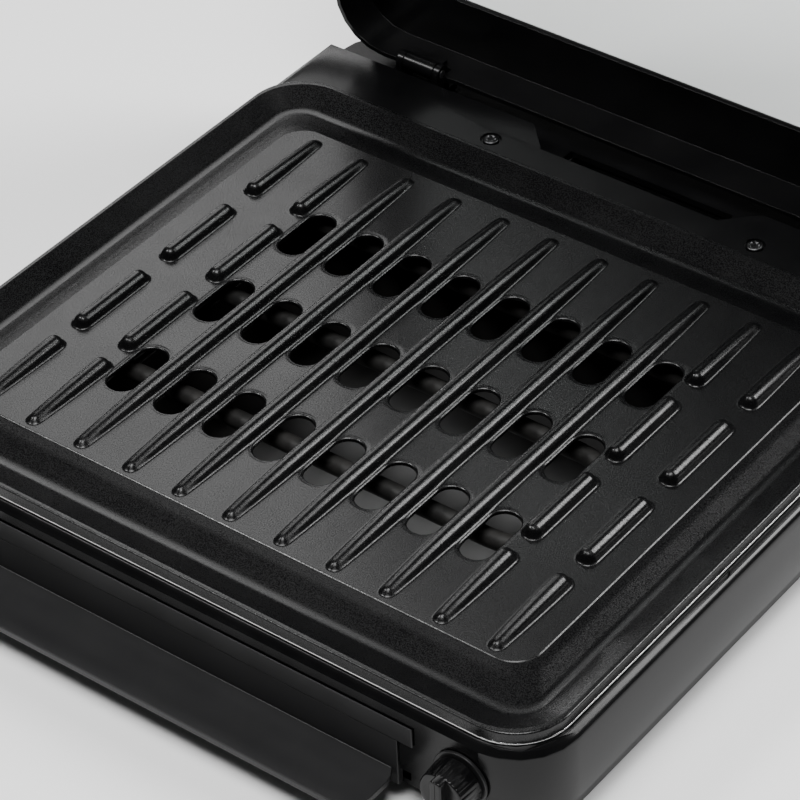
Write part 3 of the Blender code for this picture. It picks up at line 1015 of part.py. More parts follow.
def build_hinges():
    """Make the hinge brackets on the rear deck and the pins that carry the lid."""
    for side, name in ((-1, "left"), (1, "right")):
        x = side * BARREL_X
        foot = DECK_Z + TOUCH_GAP
        inner = BARREL_HALF_LENGTH + EAR_GAP
        outer = inner + EAR_THICK
        bracket = box("hinge_bracket_" + name, (x - outer, x + outer),
                      (HINGE_Y - BARREL_RADIUS, HINGE_Y + BARREL_RADIUS + BRACKET_REACH), (foot, foot + BRACKET_FOOT),
                      "black_moulding")
        for sign, tag in ((-1, "outer"), (1, "inner")):
            near = x + sign * inner
            far = x + sign * outer
            outline = [(HINGE_Y - BARREL_RADIUS, foot), (HINGE_Y + BARREL_RADIUS, foot)]
            outline += [(HINGE_Y + BARREL_RADIUS * math.cos(math.pi * k / ARC_STEPS / 2),
                         HINGE_Z + BARREL_RADIUS * math.sin(math.pi * k / ARC_STEPS / 2))
                        for k in range(2 * ARC_STEPS + 1)]
            ear = prism("ear_" + name + "_" + tag, outline, *sorted((near, far)), axis="X")
            combine(bracket, ear, "UNION")
        combine(bracket, rod("cut_pin_" + name, (x - outer - OVERRUN, HINGE_Y, HINGE_Z),
                             (x + outer + OVERRUN, HINGE_Y, HINGE_Z), HINGE_PIN_RADIUS + TOUCH_GAP))
        smooth(rod("hinge_pin_" + name, (x - outer, HINGE_Y, HINGE_Z), (x + outer, HINGE_Y, HINGE_Z),
                   HINGE_PIN_RADIUS, "steel"))


def main():
    """Build the whole grill and set it over its origin."""
    build_plate()
    build_housing()
    build_base()
    build_liner()
    build_heater()
    build_tray()
    build_controls()
    build_fan()
    build_ledge_screws()
    build_hinges()
    axle = bpy.data.objects.new("lid_axle", None)
    PARTS.objects.link(axle)
    axle.location = (0.0, HINGE_Y, HINGE_Z)
    axle.rotation_euler.x = -LID_OPEN_ANGLE
    build_lid(axle)
    centre = bpy.data.objects.new("part_centre", None)
    PARTS.objects.link(centre)
    centre.location = (0.0, -ORIGIN_Y, 0.0)
    for item in list(PARTS.objects) + list(CUTTERS.objects):
        if item.parent is None and item is not centre:
            item.parent = centre
    bpy.context.view_layer.update()


main()
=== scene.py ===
"""Dress the smokeless indoor grill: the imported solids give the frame, and this file gives the looks."""

import logging
import math
from dataclasses import dataclass
from enum import Enum
from functools import cache
from typing import Callable, Sequence

import bmesh
import bpy
import numpy as np
from mathutils import Matrix, Quaternion, Vector


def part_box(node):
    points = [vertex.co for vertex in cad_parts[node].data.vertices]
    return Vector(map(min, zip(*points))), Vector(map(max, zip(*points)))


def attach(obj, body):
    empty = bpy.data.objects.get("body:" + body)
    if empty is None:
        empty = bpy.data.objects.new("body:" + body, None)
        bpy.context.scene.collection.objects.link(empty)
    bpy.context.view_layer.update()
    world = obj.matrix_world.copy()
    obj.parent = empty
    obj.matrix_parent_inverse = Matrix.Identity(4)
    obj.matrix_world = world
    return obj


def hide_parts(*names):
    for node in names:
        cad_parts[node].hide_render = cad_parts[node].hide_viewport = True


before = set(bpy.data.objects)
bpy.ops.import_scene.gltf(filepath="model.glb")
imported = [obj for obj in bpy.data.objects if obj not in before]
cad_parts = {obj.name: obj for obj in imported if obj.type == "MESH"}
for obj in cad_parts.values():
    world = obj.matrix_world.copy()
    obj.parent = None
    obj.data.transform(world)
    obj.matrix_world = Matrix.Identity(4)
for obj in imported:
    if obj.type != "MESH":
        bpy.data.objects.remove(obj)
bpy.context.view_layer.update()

log = logging.getLogger("grill")

MM = 0.001

TINY = 1e-9

Colour = tuple[float, float, float]
Span = tuple[float, float]
Ring = tuple[float, float, float, float]


class Body(str, Enum):
    """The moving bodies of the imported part."""

    BASE = "base"
    PLATE = "plate"
    TRAY = "tray"
    LID = "lid"
    KNOB = "knob"
    ROCKER = "rocker"
    FAN = "fan"


class Sum(str, Enum):
    """The sums that a Math node does here."""

    ADD = "ADD"
    SUBTRACT = "SUBTRACT"
    MULTIPLY = "MULTIPLY"
    DIVIDE = "DIVIDE"


class Head(int, Enum):
    """The end of an upright screw that its head is at."""

    TOP = 1
    UNDER = -1


# Shader maths


class Value:
    """A shader socket that takes part in Python sums, which add Math nodes."""

    def __init__(self, graph: "Graph", socket: bpy.types.NodeSocket) -> None:
        """Keep the graph and the socket."""
        self.graph = graph
        self.socket = socket

    def __add__(self, other: "Value | float") -> "Value":
        """Return the sum."""
        return self.graph.math(Sum.ADD, self, other)

    def __radd__(self, other: float) -> "Value":
        """Return the sum."""
        return self.graph.math(Sum.ADD, other, self)

    def __sub__(self, other: "Value | float") -> "Value":
        """Return the difference."""
        return self.graph.math(Sum.SUBTRACT, self, other)

    def __rsub__(self, other: float) -> "Value":
        """Return the difference, taken from a number."""
        return self.graph.math(Sum.SUBTRACT, other, self)

    def __mul__(self, other: "Value | float") -> "Value":
        """Return the product."""
        return self.graph.math(Sum.MULTIPLY, self, other)

    def __rmul__(self, other: float) -> "Value":
        """Return the product."""
        return self.graph.math(Sum.MULTIPLY, other, self)

    def __truediv__(self, other: "Value | float") -> "Value":
        """Return the quotient."""
        return self.graph.math(Sum.DIVIDE, self, other)


class Graph:
    """The node tree of a material or of the world, with one way to add any node."""

    def __init__(self, owner: bpy.types.Material | bpy.types.World) -> None:
        """Empty the owner's tree.

        Args:
            owner: The new material or world.
        """
        self.owner = owner
        owner.use_nodes = True
        self.tree = owner.node_tree
        self.tree.nodes.clear()

    def node(self, kind: str, settings: dict | None = None,
             sockets: dict | None = None) -> bpy.types.Node:
        """Add a node.

        Args:
            kind: The node's type.
            settings: Its own settings, which are set before its sockets.
            sockets: Numbers, colours or Values for its input sockets, by name or number.

        Returns:
            The new node.
        """
        made = self.tree.nodes.new(kind)
        for key, setting in (settings or {}).items():
            if key == "ramp":
                self.fill_ramp(made.color_ramp, setting)
            else:
                setattr(made, key, setting)
        for key, given in (sockets or {}).items():
            if isinstance(given, Value):
                self.tree.links.new(given.socket, made.inputs[key])
            else:
                made.inputs[key].default_value = given
        return made

    @staticmethod
    def fill_ramp(ramp: bpy.types.ColorRamp, stops: Sequence[tuple[float, float]]) -> None:
        """Set a grey ramp's stops.

        Args:
            ramp: The ramp.
            stops: Pairs of place and grey.
        """
        while len(ramp.elements) < len(stops):
            ramp.elements.new(1.0)
        for element, (place, grey) in zip(ramp.elements, stops):
            element.position = place
            element.color = (grey, grey, grey, 1.0)

    def out(self, node: bpy.types.Node, name: str | int = 0) -> Value:
        """Return a node's output as a Value."""
        return Value(self, node.outputs[name])

    def math(self, operation: Sum, first: Value | float, second: Value | float) -> Value:
        """Return the result of one Math node."""
        return self.out(self.node("ShaderNodeMath", {"operation": operation.value}, {0: first, 1: second}))

    def place(self) -> Value:
        """Return the Object coordinates."""
        return self.out(self.node("ShaderNodeTexCoord"), "Object")

    def noise(self, place: Value, scale: float, detail: float = 3.0, roughness: float = 0.5) -> Value:
        """Return a noise between 0 and 1.

        Args:
            place: The coordinates it reads.
            scale: Its grains per metre.
            detail: How many octaves it has.
            roughness: How strong its fine octaves are.

        Returns:
            The noise.
        """
        return self.out(self.node("ShaderNodeTexNoise", None, {
            "Vector": place, "Scale": scale, "Detail": detail, "Roughness": roughness}), "Fac")

    def between(self, value: Value, low: float, high: float) -> Value:
        """Return nought up to the low value, one from the high one on, and a straight rise between."""
        stops = ((low, 0.0), (high, 1.0))
        return self.out(self.node("ShaderNodeValToRGB", {"ramp": stops}, {"Fac": value}), "Color")

    def colours(self, share: Value, low: Value | Colour, high: Value | Colour) -> Value:
        """Mix two colours.

        Args:
            share: How much of the high colour shows, 0 to 1.
            low: The colour at a share of 0.
            high: The colour at a share of 1.

        Returns:
            The mixed colour.
        """
        ends = [end if isinstance(end, Value) else (*end, 1.0) for end in (low, high)]
        made = self.node("ShaderNodeMix", {"data_type": "RGBA"}, {0: share, 6: ends[0], 7: ends[1]})
        return self.out(made, 2)

    def parts(self, place: Value) -> tuple[Value, Value, Value]:
        """Return the three parts of a vector."""
        split = self.node("ShaderNodeSeparateXYZ", None, {0: place})
        return self.out(split, 0), self.out(split, 1), self.out(split, 2)

    def bump(self, height: Value, depth: float) -> Value:
        """Return the normal of a height map.

        Args:
            height: The height, about 0 to 1.
            depth: What a height of 1 stands for, in metres.

        Returns:
            The normal.
        """
        return self.out(self.node("ShaderNodeBump", None, {"Height": height, "Distance": depth}), "Normal")

    def finish(self, sockets: dict) -> bpy.types.Material:
        """Close the tree with a Principled shader.

        Args:
            sockets: The shader's inputs.

        Returns:
            The material.
        """
        shader = self.node("ShaderNodeBsdfPrincipled", None, sockets)
        self.node("ShaderNodeOutputMaterial", None, {"Surface": self.out(shader)})
        return self.owner


# Finishes


@dataclass(frozen=True)
class Finish:
    """A moulded or coated surface with a fine grain, slow mottling and a named slot of the record.

    Grain sizes are in metres, and grains are counted per metre. The material is named after its slot, unless
    it has a name of its own.
    """

    slot: str
    colour: Colour
    mottle: Colour
    roughness: Span
    grain: float
    grain_depth: float
    metallic: float = 0.0
    specular: float = 0.5
    coat: float = 0.0
    name: str = ""
    coat_roughness: float = 0.12
    mottle_grains: float = 45.0
    mottle_ends: Span = (0.30, 0.70)
    mottle_share: float = 0.65

    def spread(self, graph: Graph, place: Value) -> Value:
        """Return the slow mottling that shifts colour and roughness."""
        return graph.between(graph.noise(place, self.mottle_grains, detail=4.0), *self.mottle_ends)

    def height(self, graph: Graph, place: Value) -> Value:
        """Return the height map of the grain."""
        return graph.noise(place, 1.0 / self.grain, detail=2.0, roughness=0.6)

    def base(self, graph: Graph, place: Value, slow: Value) -> Value:
        """Return the base colour."""
        return graph.colours(slow, self.colour, self.mottle)

    def gloss(self, graph: Graph, slow: Value, height: Value) -> Value:
        """Return the roughness, which the mottling and the grain shift between its two ends."""
        least, most = self.roughness
        return least + (most - least) * (self.mottle_share * slow + (1.0 - self.mottle_share) * height)

    def material(self) -> bpy.types.Material:
        """Build the finish.

        Returns:
            The material.
        """
        graph = Graph(bpy.data.materials.new((self.name or self.slot) + "_look"))
        place = graph.place()
        slow = self.spread(graph, place)
        height = self.height(graph, place)
        return graph.finish({
            "Base Color": self.base(graph, place, slow),
            "Roughness": self.gloss(graph, slow, height),
            "Metallic": self.metallic,
            "Specular IOR Level": self.specular,
            "Coat Weight": self.coat,
            "Coat Roughness": self.coat_roughness,
            "Normal": graph.bump(height, self.grain_depth),
        })


@dataclass(frozen=True)
class Speckled(Finish):
    """A sprayed coating, whose fine grain shifts its gloss from speck to speck."""

    speck_ends: Span = (0.34, 0.66)
    slow_share: float = 0.04

    def gloss(self, graph: Graph, slow: Value, height: Value) -> Value:
        """Make a fine speckle between the roughness's two ends, with the slow mottling on top.

        Args:
            graph: The material's graph.
            slow: The slow mottling.
            height: The height map of the grain.

        Returns:
            The roughness.
        """
        least, most = self.roughness
        fine = graph.between(height, *self.speck_ends)
        return least + (most - least) * fine + self.slow_share * slow


@dataclass(frozen=True)
class Brushed(Finish):
    """Bare sheet metal, with fine lines that run along one axis."""

    stretch: tuple[float, float, float] = (0.04, 1.0, 1.0)

    def height(self, graph: Graph, place: Value) -> Value:
        """Return the height of the brushing, a noise drawn out along one axis."""
        drawn = graph.node("ShaderNodeMapping", None, {"Vector": place, "Scale": self.stretch})
        return graph.noise(graph.out(drawn, "Vector"), 1.0 / self.grain, detail=3.0, roughness=0.55)


@dataclass(frozen=True)
class ShadePaintedSheet(Brushed):
    """Bare sheet with painted shade over it, but for its front right part."""

    # The colour of the painted shade, and the spans in x and y over which it fades into the sheet's own
    # colour
    painted_shade: Colour = (0.016, 0.015, 0.0145)
    lit_x: Span = (-0.062, -0.008)
    lit_y: Span = (-0.045, 0.040)
    uneven: float = 0.016
    uneven_grains: float = 60.0

    def base(self, graph: Graph, place: Value, slow: Value) -> Value:
        """Lay painted shade on the sheet that grows to the left and to the rear, with an edge that noise
        shifts.

        Args:
            graph: The material's graph.
            place: The coordinates.
            slow: The slow mottling.

        Returns:
            The base colour.
        """
        shift = self.uneven * graph.noise(place, self.uneven_grains) - self.uneven / 2
        x, y, _ = graph.parts(place)
        right, rear = (graph.between((way + shift - low) / (high - low), 0.0, 1.0)
                       for way, (low, high) in ((x, self.lit_x), (y, self.lit_y)))
        return graph.colours(right * (1.0 - rear), self.painted_shade, graph.colours(slow, self.colour, self.mottle))


@dataclass(frozen=True)
class Scorched(Finish):
    """Heated sheet or tube: dark oxide with lighter, browner patches."""

    coarse_grains: float = 60.0
    fine_grains: float = 700.0
    coarse_share: float = 0.7
    patch_ends: Span = (0.38, 0.62)

    def spread(self, graph: Graph, place: Value) -> Value:
        """Make patches of oxide, coarse and fine together.

        Args:
            graph: The material's graph.
            place: The coordinates.

        Returns:
            The patches, 0 to 1.
        """
        coarse = graph.noise(place, self.coarse_grains)
        fine = graph.noise(place, self.fine_grains, detail=2.0)
        both = self.coarse_share * coarse + (1.0 - self.coarse_share) * fine
        return graph.between(both, *self.patch_ends)


@dataclass(frozen=True)
class ClearGlass:
    """Clear toughened glass: see-through, with a reflection that grows at grazing angles."""

    slot: str = "glass"
    tint: tuple[float, float, float, float] = (0.965, 0.980, 0.975, 1.0)
    depth_colour: tuple[float, float, float, float] = (0.010, 0.012, 0.012, 1.0)
    roughness: float = 0.03
    grazing_blend: float = 0.18
    least_gloss: float = 0.08
    gloss_rise: float = 0.85

    def material(self) -> bpy.types.Material:
        """Build the glass from a tinted see-through shader and a glossy one.

        Returns:
            The material.
        """
        graph = Graph(bpy.data.materials.new(self.slot + "_look"))
        clear = graph.node("ShaderNodeBsdfTransparent", None, {"Color": self.tint})
        gloss = graph.node("ShaderNodeBsdfPrincipled", None, {
            "Base Color": self.depth_colour, "Roughness": self.roughness, "Specular IOR Level": 1.0})
        facing = graph.node("ShaderNodeLayerWeight", None, {"Blend": self.grazing_blend})
        share = self.least_gloss + self.gloss_rise * graph.out(facing, "Fresnel")
        mixed = graph.node("ShaderNodeMixShader", None, {0: share, 1: graph.out(clear), 2: graph.out(gloss)})
        graph.node("ShaderNodeOutputMaterial", None, {"Surface": graph.out(mixed)})
        return graph.owner


@dataclass(frozen=True)
class PaleFloor:
    """A matt pale floor whose tone drifts a little."""

    colour: Colour = (0.90, 0.90, 0.90)
    drift: Colour = (0.92, 0.92, 0.92)
    drift_grains: float = 3.0
    roughness: float = 0.7
    specular: float = 0.2

    def material(self) -> bpy.types.Material:
        """Build the floor's finish.

        Returns:
            The material.
        """
        graph = Graph(bpy.data.materials.new("pale_floor"))
        slow = graph.noise(graph.place(), self.drift_grains)
        return graph.finish({"Base Color": graph.colours(slow, self.colour, self.drift),
                             "Roughness": self.roughness, "Specular IOR Level": self.specular})


AnyFinish = Finish | ClearGlass | PaleFloor

COATING = Speckled("satin_coating", (0.0016, 0.0016, 0.0018), (0.0026, 0.0026, 0.0028), (0.15, 0.36),
                   0.50 * MM, 0.024 * MM, specular=0.30)
MOULDING = Finish("black_moulding", (0.0020, 0.0020, 0.0022), (0.0034, 0.0034, 0.0036), (0.20, 0.28),
                  0.60 * MM, 0.006 * MM, specular=0.24)
MATT_MOULDING = Finish("black_moulding", (0.0115, 0.0115, 0.0120), (0.0140, 0.0140, 0.0145), (0.34, 0.44),
                       0.60 * MM, 0.014 * MM, specular=0.3, name="matt_moulding")
GREY_MOULDING = Finish("grey_moulding", (0.008, 0.008, 0.0083), (0.011, 0.011, 0.0114), (0.30, 0.40),
                       0.50 * MM, 0.010 * MM, specular=0.3)
RUBBER = Finish("rubber", (0.012, 0.012, 0.012), (0.020, 0.020, 0.020), (0.75, 0.90), 0.90 * MM, 0.040 * MM,
                specular=0.3)
CERAMIC = Finish("ceramic", (0.60, 0.56, 0.47), (0.52, 0.47, 0.38), (0.50, 0.70), 0.80 * MM, 0.040 * MM)
LAMP_RED = Finish("lamp_red", (0.42, 0.012, 0.008), (0.50, 0.020, 0.012), (0.08, 0.14), 1.50 * MM, 0.004 * MM,
                  coat=0.6)
# The drip tray's pale metal, with painted shade over its left and its rear
ALUMINIUM = ShadePaintedSheet("pale_aluminium", (0.24, 0.24, 0.24), (0.31, 0.31, 0.31), (0.45, 0.60),
                    0.70 * MM, 0.020 * MM, metallic=0.75)
BARE_EDGE = Brushed("pale_aluminium", (0.66, 0.66, 0.66), (0.74, 0.74, 0.74), (0.20, 0.30),
                    0.40 * MM, 0.003 * MM, metallic=1.0, name="bare_edge")
BRIGHT_SHEET = Brushed("bright_sheet", (0.34, 0.34, 0.33), (0.44, 0.43, 0.42), (0.14, 0.24),
                       0.60 * MM, 0.008 * MM, metallic=1.0)
STEEL = Brushed("steel", (0.42, 0.42, 0.43), (0.52, 0.52, 0.53), (0.22, 0.36), 0.40 * MM, 0.008 * MM,
                metallic=1.0)
BLACK_STEEL = Brushed("steel", (0.045, 0.045, 0.046), (0.075, 0.075, 0.077), (0.30, 0.44),
                      0.40 * MM, 0.008 * MM, metallic=1.0, name="blackened_steel")
MOTOR_CAN = Brushed("motor_can", (0.34, 0.34, 0.35), (0.42, 0.42, 0.43), (0.28, 0.42), 0.50 * MM, 0.008 * MM,
                    metallic=1.0)
# The heat liner: the bright sheet painted near-black as painted shade for the unlit hopper, with lighter
# oxide patches
SHADE_PAINTED_LINER = Scorched("bright_sheet", (0.012, 0.012, 0.0115), (0.030, 0.029, 0.028), (0.30, 0.46),
                     0.60 * MM, 0.010 * MM, metallic=0.6, name="shade_painted_sheet")
SHEATH = Scorched("heater_sheath", (0.011, 0.011, 0.0106), (0.022, 0.021, 0.020), (0.45, 0.62),
                  0.50 * MM, 0.030 * MM, specular=0.2)
GLASS = ClearGlass()
FLOOR = PaleFloor()


@cache
def look(finish: AnyFinish) -> bpy.types.Material:
    """Return a finish's material, which is built once."""
    return finish.material()


# Surfaces

LEAST_TURN = 1e-4
LEG_SHARE = 0.49
UP = np.array((0.0, 0.0, 1.0))


def fillet_line(points: Sequence[Sequence[float]], radii: Sequence[float], steps: int = 6) -> np.ndarray:
    """Round the inner corners of an open line, in two or three dimensions.

    Each corner is replaced by an arc that touches both legs. The arc starts one tangent length before the
    corner and ends as far after it. That length is the radius times the tangent of half the turn.

    Args:
        points: The line's corners.
        radii: One radius for each inner corner.
        steps: How many spans an arc has.

    Returns:
        The rounded line's points.
    """
    line = [np.array(points[0], float)]
    for before, corner, after, radius in zip(points, points[1:], points[2:], radii):
        back = np.subtract(before, corner)
        ahead = np.subtract(after, corner)
        back_unit = back / np.linalg.norm(back)
        ahead_unit = ahead / np.linalg.norm(ahead)
        turn = math.pi - math.acos(float(np.clip(back_unit @ ahead_unit, -1.0, 1.0)))
        if radius <= 0.0 or turn < LEAST_TURN:
            line.append(np.array(corner, float))
            continue
        longest = min(np.linalg.norm(back), np.linalg.norm(ahead)) * LEG_SHARE
        run = min(radius * math.tan(turn / 2), longest)
        bend = run / math.tan(turn / 2)
        inward = ahead_unit - (ahead_unit @ back_unit) * back_unit
        inward /= np.linalg.norm(inward)
        angle = np.linspace(0.0, turn, steps + 1)[:, None]
        centre = np.array(corner) + back_unit * run + inward * bend
        line.extend(centre - bend * (np.cos(angle) * inward + np.sin(angle) * back_unit))
    line.append(np.array(points[-1], float))
    return np.array(line)


def rounded_loop(x0: float, x1: float, y0: float, y1: float, radius: float, steps: int = 12) -> np.ndarray:
    """Return a rounded rectangle anticlockwise: four quarter circles, each round its own corner's centre.

    Args:
        x0: The lowest x.
        x1: The highest x.
        y0: The lowest y.
        y1: The highest y.
        radius: The corners' radius.
        steps: How many spans a corner has.

    Returns:
        Rows of x and y.
    """
    angle = (np.arange(4)[:, None] + np.linspace(0.0, 1.0, steps + 1)[None, :]) * math.pi / 2
    centre_x = np.array([x1 - radius, x0 + radius, x0 + radius, x1 - radius])[:, None]
    centre_y = np.array([y1 - radius, y1 - radius, y0 + radius, y0 + radius])[:, None]
    return np.stack([centre_x + radius * np.cos(angle), centre_y + radius * np.sin(angle)], -1).reshape(-1, 2)


class Skin:
    """Gathers grids of points into one closed mesh."""

    def __init__(self) -> None:
        """Start with nothing."""
        self.points: list[np.ndarray] = []
        self.faces: list[np.ndarray] = []
        self.caps: list[list[int]] = []
        self.count = 0

    def grid(self, points: np.ndarray, wrap: bool = False, keep: np.ndarray | None = None,
             flip: bool = False) -> None:
        """Add a grid of four-sided faces.

        Args:
            points: Rows by columns by three.
            wrap: Whether the last column joins the first.
            keep: Which cells stay, rows less one by columns, or all of them.
            flip: Whether the faces turn the other way.
        """
        rows, columns = points.shape[:2]
        index = np.arange(rows * columns).reshape(rows, columns) + self.count
        right = np.roll(index, -1, axis=1) if wrap else index[:, 1:]
        left = index if wrap else index[:, :-1]
        quads = np.stack([left[:-1], right[:-1], right[1:], left[1:]], -1)
        if flip:
            quads = quads[..., ::-1]
        quads = quads.reshape(-1, 4) if keep is None else quads[keep]
        self.points.append(points.reshape(-1, 3))
        self.faces.append(quads)
        self.count += rows * columns

    def cap(self, ring: np.ndarray) -> None:
        """Close a ring of points with one face.

        Args:
            ring: The points in order, anticlockwise seen from outside.
        """
        self.caps.append(list(range(self.count, self.count + len(ring))))
        self.points.append(ring)
        self.count += len(ring)

    def loft(self, rings: np.ndarray, closed: bool = True) -> None:
        """Skin a stack of rings.

        Args:
            rings: Rings by sides by three.
            closed: Whether its two ends are capped.
        """
        self.grid(rings, wrap=True)
        if closed:
            self.cap(rings[0][::-1])
            self.cap(rings[-1])

    def build(self, name: str, finish: AnyFinish, merge: float = 1e-6, sharp: float = 40.0,
              outward: bool = True) -> bpy.types.Object:
        """Make the mesh object at the origin.

        Args:
            name: The object's name.
            finish: What it is made of.
            merge: How near two points are that become one.
            sharp: The angle in degrees past which an edge stays hard.
            outward: Whether the faces are turned to point outwards.

        Returns:
            The object.
        """
        mesh = bpy.data.meshes.new(name)
        faces = [face for block in self.faces for face in block.tolist()] + self.caps
        mesh.from_pydata(np.concatenate(self.points).tolist(), [], faces)
        bm = bmesh.new()
        bm.from_mesh(mesh)
        bmesh.ops.remove_doubles(bm, verts=bm.verts, dist=merge)
        bmesh.ops.delete(bm, geom=[vert for vert in bm.verts if not vert.link_faces], context="VERTS")
        if outward:
            bmesh.ops.recalc_face_normals(bm, faces=bm.faces)
        bm.to_mesh(mesh)
        bm.free()
        mesh.materials.append(look(finish))
        mesh.shade_smooth()
        mesh.set_sharp_from_angle(angle=math.radians(sharp))
        item = bpy.data.objects.new(name, mesh)
        bpy.context.scene.collection.objects.link(item)
        return item


def settle(item: bpy.types.Object, body: Body, finish: AnyFinish, *nodes: str) -> bpy.types.Object:
    """Put a finished piece on its body, in place of the solids that it stands for.

    Args:
        item: The piece.
        body: The body that it rides on.
        finish: What it is made of.
        nodes: The solids that it stands for.

    Returns:
        The piece.
    """
    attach(item, body.value)
    if nodes:
        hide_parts(*nodes)
    log.info("%s: %d faces on %s", item.name, len(item.data.polygons), body.value)
    return item


def tube_skin(path: np.ndarray, radius: float, sides: int) -> np.ndarray:
    """Carry a circle along a path that is never upright.

    Each ring lies in the plane square to the path's local direction. Its first axis is that direction crossed
    with the upright one, and its second is square to both, so the rings never twist.

    Args:
        path: The centre points.
        radius: The circle's radius.
        sides: How many points a ring has.

    Returns:
        Rings by sides by three.
    """
    along = np.gradient(path, axis=0)
    along /= np.linalg.norm(along, axis=1, keepdims=True)
    side = np.cross(along, UP)
    side /= np.linalg.norm(side, axis=1, keepdims=True)
    over = np.cross(side, along)
    angle = np.linspace(0.0, 2 * math.pi, sides, endpoint=False)
    ring = np.cos(angle)[None, :, None] * side[:, None] + np.sin(angle)[None, :, None] * over[:, None]
    return path[:, None] + radius * ring


def turned(profile: np.ndarray, centre: Sequence[float], steps: int) -> np.ndarray:
    """Turn a profile round an upright axis.

    A point at radius r and height h goes to the centre, plus h upwards, plus r in each level direction.

    Args:
        profile: Rows of radius and height.
        centre: A point of the axis.
        steps: How many points a ring has.

    Returns:
        Rings by steps by three.
    """
    angle = np.linspace(0.0, 2 * math.pi, steps, endpoint=False)
    spoke = np.stack([-np.sin(angle), np.cos(angle), np.zeros(steps)], -1)
    return np.array(centre, float) + profile[:, None, :1] * spoke[None] + profile[:, None, 1:] * UP


# The grill plate


@dataclass
class GrillPlate:
    """The pressed plate: raised floor, ribs, drip slots, gutter and turned-down rim.

    Lengths are in metres, but the grid lines and the rim's section are in millimetres.
    """

    pitch: float = 0.0250
    last_full_rib: int = 3
    last_rib: int = 5
    slot_columns: int = 8
    row_pitch: float = 0.0549
    slot_width: float = 0.0135
    slot_length: float = 0.0307
    floor_half_x: float = 0.1405
    floor_front: float = 0.1083
    floor_rear: float = 0.1158
    sheet: float = 0.0018
    rib_height: float = 0.0045
    rib_half: float = 0.0053
    rib_front: float = 0.1065
    rib_rear: float = 0.1110
    rib_ramp: float = 0.0500
    tip_height: float = 0.42
    tip_width: float = 0.68
    crown_share: float = 0.70
    flank_angles: tuple[float, float, int] = (5.0, 85.0, 161)
    foot_margin: float = 0.0004
    breaks: tuple[float, ...] = (-0.0575, -0.0500, -0.0045, 0.0055, 0.0515, 0.0615)
    edge_inset: float = 0.0006
    recess_reach: float = 0.0019
    recess_ramp: float = 0.0007
    recess_depth: float = 0.00014
    roll: float = 0.0008
    patch_shares: tuple[float, ...] = (1.0, 0.8, 0.6, 0.4, 0.2, 0.0)
    lip_shares: tuple[float, ...] = (0.82, 0.60, 0.36, 0.16, 0.04, 0.0)
    lip_drop_shares: tuple[float, ...] = (0.03, 0.13, 0.28, 0.44, 0.62, 0.85)
    patch_half_x: float = 0.0076
    patch_half_y: float = 0.0176
    bead_radius: float = 0.0005
    bead_out: float = 0.0002
    bead_rise: float = -0.0034
    bead_sides: int = 12
    floor_level: float = 0.0540
    line_gap: float = 0.00028
    tolerance: float = 0.00001
    rim_margin: float = 0.0001
    flat_angle: float = 0.05
    normal_weight: int = 50
    # Lines across: from a rib's middle, from the side edge inwards and from the middle between two ribs
    rib_lines: tuple[float, ...] = (
        0.0, 0.7, 1.4, 2.0, 2.5, 2.9, 3.25, 3.55, 3.85, 4.2, 4.5, 4.8, 5.05, 5.3, 5.7)
    side_lines: tuple[float, ...] = (0.0, 1.3, 2.9, 4.5, 6.1, 7.7)
    middle_lines: tuple[float, ...] = (-5.0, -2.5, 0.0, 2.5, 5.0)
    # Lines along: from a rib's end, a slot's middle, the rear and front edges, and in the plate's own y
    tip_lines: tuple[float, ...] = (-0.4, 0.0, 0.4, 0.9, 1.5, 2.2, 3.0, 4.0, 5.2)
    slot_lines: tuple[float, ...] = (0.0, 4.0, 8.6, 10.6, 12.4, 14.0, 15.4, 16.4)
    rear_lines: tuple[float, ...] = (0.0, 1.6, 3.2)
    front_lines: tuple[float, ...] = (9.5, 11.4)
    ramp_lines: tuple[float, ...] = (104.5, 102.2)
    even_lines: tuple[float, float, float] = (-94.0, 100.0, 12.0)
    # The rim's section: the shoulder's corners as distance out and height, levels, and one radius a corner
    shoulder: tuple[Span, ...] = ((-0.1, 0.0), (0.3, -0.34), (4.2, -1.00))
    gutter_level: float = -3.5
    crest_level: float = 1.8
    skirt_level: float = -3.7
    crest_start: float = 0.4
    rim_radii: tuple[float, ...] = (0.5, 0.6, 24.0, 8.5, 1.0, 0.8, 0.3, 0.3, 0.6, 7.0, 0.4)
    rim_steps: int = 8
    # The rings of the rim: half width, front, rear and corner radius
    rings: tuple[Ring, ...] = (
        (0.1405, 0.1083, 0.1158, 0.0120), (0.1543, 0.1273, 0.1295, 0.0120),
        (0.1662, 0.1400, 0.1432, 0.0240), (0.1686, 0.1424, 0.1456, 0.0240))

    def __post_init__(self) -> None:
        """Take the plate's place from its solid."""
        low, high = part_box("grill_plate")
        rear, front = self.rings[-1][2], self.rings[-1][1]
        middle_y = (low.y + high.y) / 2 - (rear - front) / 2
        self.origin = np.array([(low.x + high.x) / 2, middle_y, self.floor_level])

    def ribs(self) -> list[tuple[float, float, float]]:
        """List the ribs: full ones in the middle, and columns of short ones on both sides.

        Returns:
            Each rib's x, front end and rear end.
        """
        ends = (-self.rib_front, *self.breaks, self.rib_rear)
        found = []
        for column in range(-self.last_rib, self.last_rib + 1):
            broken = abs(column) > self.last_full_rib
            spans = zip(ends[::2], ends[1::2]) if broken else [(ends[0], ends[-1])]
            found += [(column * self.pitch, start, end) for start, end in spans]
        return found

    def slots(self) -> list[tuple[float, float]]:
        """List the slots in three rows.

        Returns:
            The slots' centres.
        """
        half = self.slot_columns / 2 - 0.5
        columns = [(k - half) * self.pitch for k in range(self.slot_columns)]
        return [(x, row * self.row_pitch) for row in (-1, 0, 1) for x in columns]

